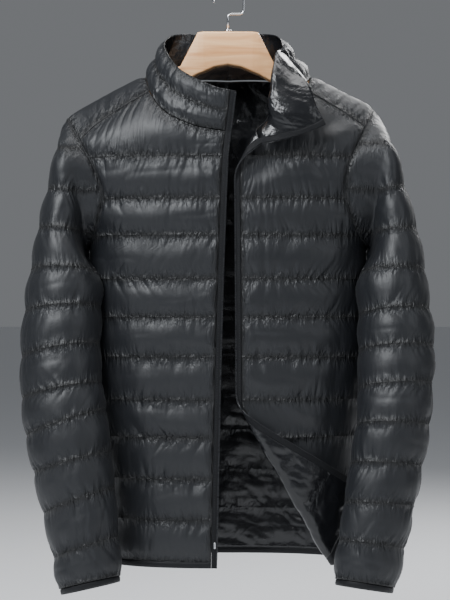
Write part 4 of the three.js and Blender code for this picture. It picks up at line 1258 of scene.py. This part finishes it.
for side in SIGN:
    tape, direction = tape_rows(side)
    ribs = RIB["height"] * np.sin(np.linspace(0, RIB["count"], TAPE_STEPS + 1) * 2 * math.pi)[:, None, None]
    face = tape + direction * (TAPE_WALL + ribs)
    piece = closed_wall(f"zip_tape_{side}_weave", tape, face, -SIGN[side], [TAPE, TAPE, TAPE])
    dress(piece, "tape", f"zip_tape_{side}")
    flat = (TAPE_FLAT, length_in_metres(tape[0]))
    line = tape[-1] + direction * TAPE_WALL
    steps = lengths_along(line)
    at = np.arange(TOOTH["pitch"] * 6, steps[-1] - TOOTH["pitch"], TOOTH["pitch"])
    lines = (np.gradient(line, axis=0), tape[0] - tape[-1], direction)
    tangent, inwards, outward = (unit(resampled(values, steps, at)) for values in lines)
    middle = inwards * (TOOTH["length"] / 2 - TOOTH["in"]) + outward * TOOTH["height"] * 0.3
    sizes = [TOOTH[name] for name in ("length", "width", "height")]
    middle += resampled(line, steps, at)
    dress(blocks(f"zip_teeth_{side}", middle, tangent, outward, sizes, [TEETH]), "tape")
    threads(f"zip_tape_{side}_stitches", [(tape[2] + direction * (TAPE_WALL + STITCH_LIFT), direction)], "tape")

# Zip pin
pin = ZIP_PIN
depth = depth_at(pin["x"], pin["z"]) + SEAM_GAP / 2 + PIN_LIFT + SEAM_GAP + pin["thickness"] / 2
height = np.linspace(-1, 1, 13)[:, None]
taper = (1 - np.abs(height) ** 6) ** 0.5 / 2
turn = around(32)
grid = points(
    -pin["x"] + pin["width"] * taper * np.cos(turn),
    -depth + pin["thickness"] * taper * np.sin(turn),
    pin["z"] + pin["length"] / 2 * height,
)
dress(tube("zip_pin_steel", grid, [PIN_STEEL]), "pin", "zip_pin")


# Hanger: rounded corners between its stations
def hanger_ring(x):
    names = ("top", "bottom", "front", "back")
    top, bottom, front, back = (np.interp(abs(x), HANGER["x"], HANGER[name]) for name in names)
    ring = []
    corners = ((front, top), (front, bottom), (back, bottom), (back, top))
    for quarter, (y, z) in enumerate(corners, 1):
        angle = math.pi / 2 * (quarter + np.linspace(0, 1, 6))
        inward_y = 1 if y == front else -1
        inward_z = 1 if z == bottom else -1
        along_y, along_z = inward_y + np.cos(angle), inward_z + np.sin(angle)
        ring.append(points(x, y + HANGER_CORNER * along_y, z + HANGER_CORNER * along_z))
    return np.concatenate(ring)


dense = np.unique(np.r_[np.linspace(0, HANGER["x"][-1], HANGER_STATIONS), HANGER["x"]])
stations = np.unique(np.r_[-dense, dense])
hanger = tube("hanger_wood_bar", np.stack([hanger_ring(x) for x in stations]), [WOOD])
hanger.modifiers.new("facets", "EDGE_SPLIT").split_angle = FACET_ANGLE
dress(hanger, "wood", "hanger")


# Hook and its ferrule
HOOK_FOOT = HANGER["top"][0] + SEAM_GAP


def hook_route():
    radius = HOOK_INNER_RADIUS + HOOK_WIRE / 2
    bend, jog = HOOK_BEND, HOOK_JOG
    corners = (
        ((0, jog - bend), (0, jog), (bend, jog)),
        ((radius - bend, jog), (radius, jog), (radius, jog + bend)),
    )
    turn = np.linspace(0, HOOK_TURN, 97)
    rounded = [bezier(*np.array(corner, float), np.linspace(0, 1, 13)[:, None]) for corner in corners]
    hook = np.stack([radius * np.cos(turn), radius * np.sin(turn) - HOOK_INNER_RADIUS], axis=1)
    return np.concatenate([[(0, HOOK_FOOT)], *rounded, hook])


HOOK_TIP = table("push size", (0.7, 0.9), (1.2, 0.65), (1.5, 0.3))
FERRULE = table("radius height", (3, 0), (5, 0), (5, 2.8), (4.6, 3.6), (3.4, 4), (1.8, 4))
path = hook_route()
tangents = unit(np.gradient(path, axis=0))
tip = path[-1] + tangents[-1] * HOOK_TIP["push"][:, None]
middle_x, middle_z = np.concatenate([path, tip]).T[..., None]
tangent_x, tangent_z = np.concatenate([tangents, np.repeat(tangents[-1:], 3, axis=0)]).T[..., None]
wire = HOOK_WIRE / 2 * np.r_[np.ones(len(path)), HOOK_TIP["size"]][:, None]
turn = around(24)
aside = wire * np.cos(turn)
grid = points(middle_x + aside * tangent_z, wire * np.sin(turn), middle_z - aside * tangent_x)
dress(tube("hook_wire", grid, [CHROME]), "steel", "hook")
radius = FERRULE["radius"][:, None]
grid = points(radius * np.cos(turn), radius * np.sin(turn), HOOK_FOOT + FERRULE["height"][:, None])
dress(tube("hook_ferrule", grid, [CHROME]), "steel")

# A plain pale floor, wide enough to run to the horizon
FLOOR = {"radius": 40000, "level": -1050, "sides": 64}


def round_floor():
    turn = around(FLOOR["sides"])[:, None]
    out = np.array([1, FLOOR["radius"]])
    verts = points(out * np.cos(turn), out * np.sin(turn), FLOOR["level"])
    index = np.arange(2 * FLOOR["sides"]).reshape(-1, 2)
    pale = Finish("pale_floor", (0.8, 0.81, 0.83), 0.8).varied(0.75, 0.85, 2)
    return mesh_object("floor", verts, grid_faces(looped(index)), materials=[pale])


round_floor()
AIM = Vector((0, 0, -0.42))


def light(name, place, size, energy, color=(1, 1, 1)):
    lamp = bpy.data.lights.new(name, "AREA")
    lamp.shape = "RECTANGLE"
    lamp.size, lamp.size_y = size
    lamp.energy = energy
    lamp.color = color
    shown = bpy.data.objects.new(name, lamp)
    shown.location = place
    shown.rotation_euler = (AIM - Vector(place)).to_track_quat("-Z", "Y").to_euler()
    bpy.context.scene.collection.objects.link(shown)


DAYLIGHT = (0.94, 0.97, 1.0)
light("key", (-1.3, -1.8, 1.3), (1.6, 1.1), 100, DAYLIGHT)
light("fill", (2.0, -1.5, 0.5), (0.9, 1.6), 10, DAYLIGHT)
light("over", (0.1, -0.3, 1.4), (1.8, 0.7), 26)
light("back", (1.3, 2.0, 1.2), (1.0, 1.4), 60)

world = bpy.data.worlds.new("studio")
world.use_nodes = True
set_inputs(world.node_tree.nodes["Background"], Color=(0.75, 0.78, 0.82, 1), Strength=0.22)
bpy.context.scene.world = world

# The photo's middle lies 3 pixels of 1.39 mm to the viewer's left of the hook
CAMERA = {"x": -4.17, "y": -2600, "z": -444.2, "lens": 112, "sensor": 36}
camera = bpy.data.cameras.new("camera")
camera.lens = CAMERA["lens"]
camera.sensor_fit = "VERTICAL"
camera.sensor_height = CAMERA["sensor"]
camera.sensor_width = CAMERA["sensor"]
view = bpy.data.objects.new("camera", camera)
view.location = [CAMERA[axis] * MM for axis in "xyz"]
view.rotation_euler = (math.pi / 2, 0, 0)
bpy.context.scene.collection.objects.link(view)
bpy.context.scene.camera = view
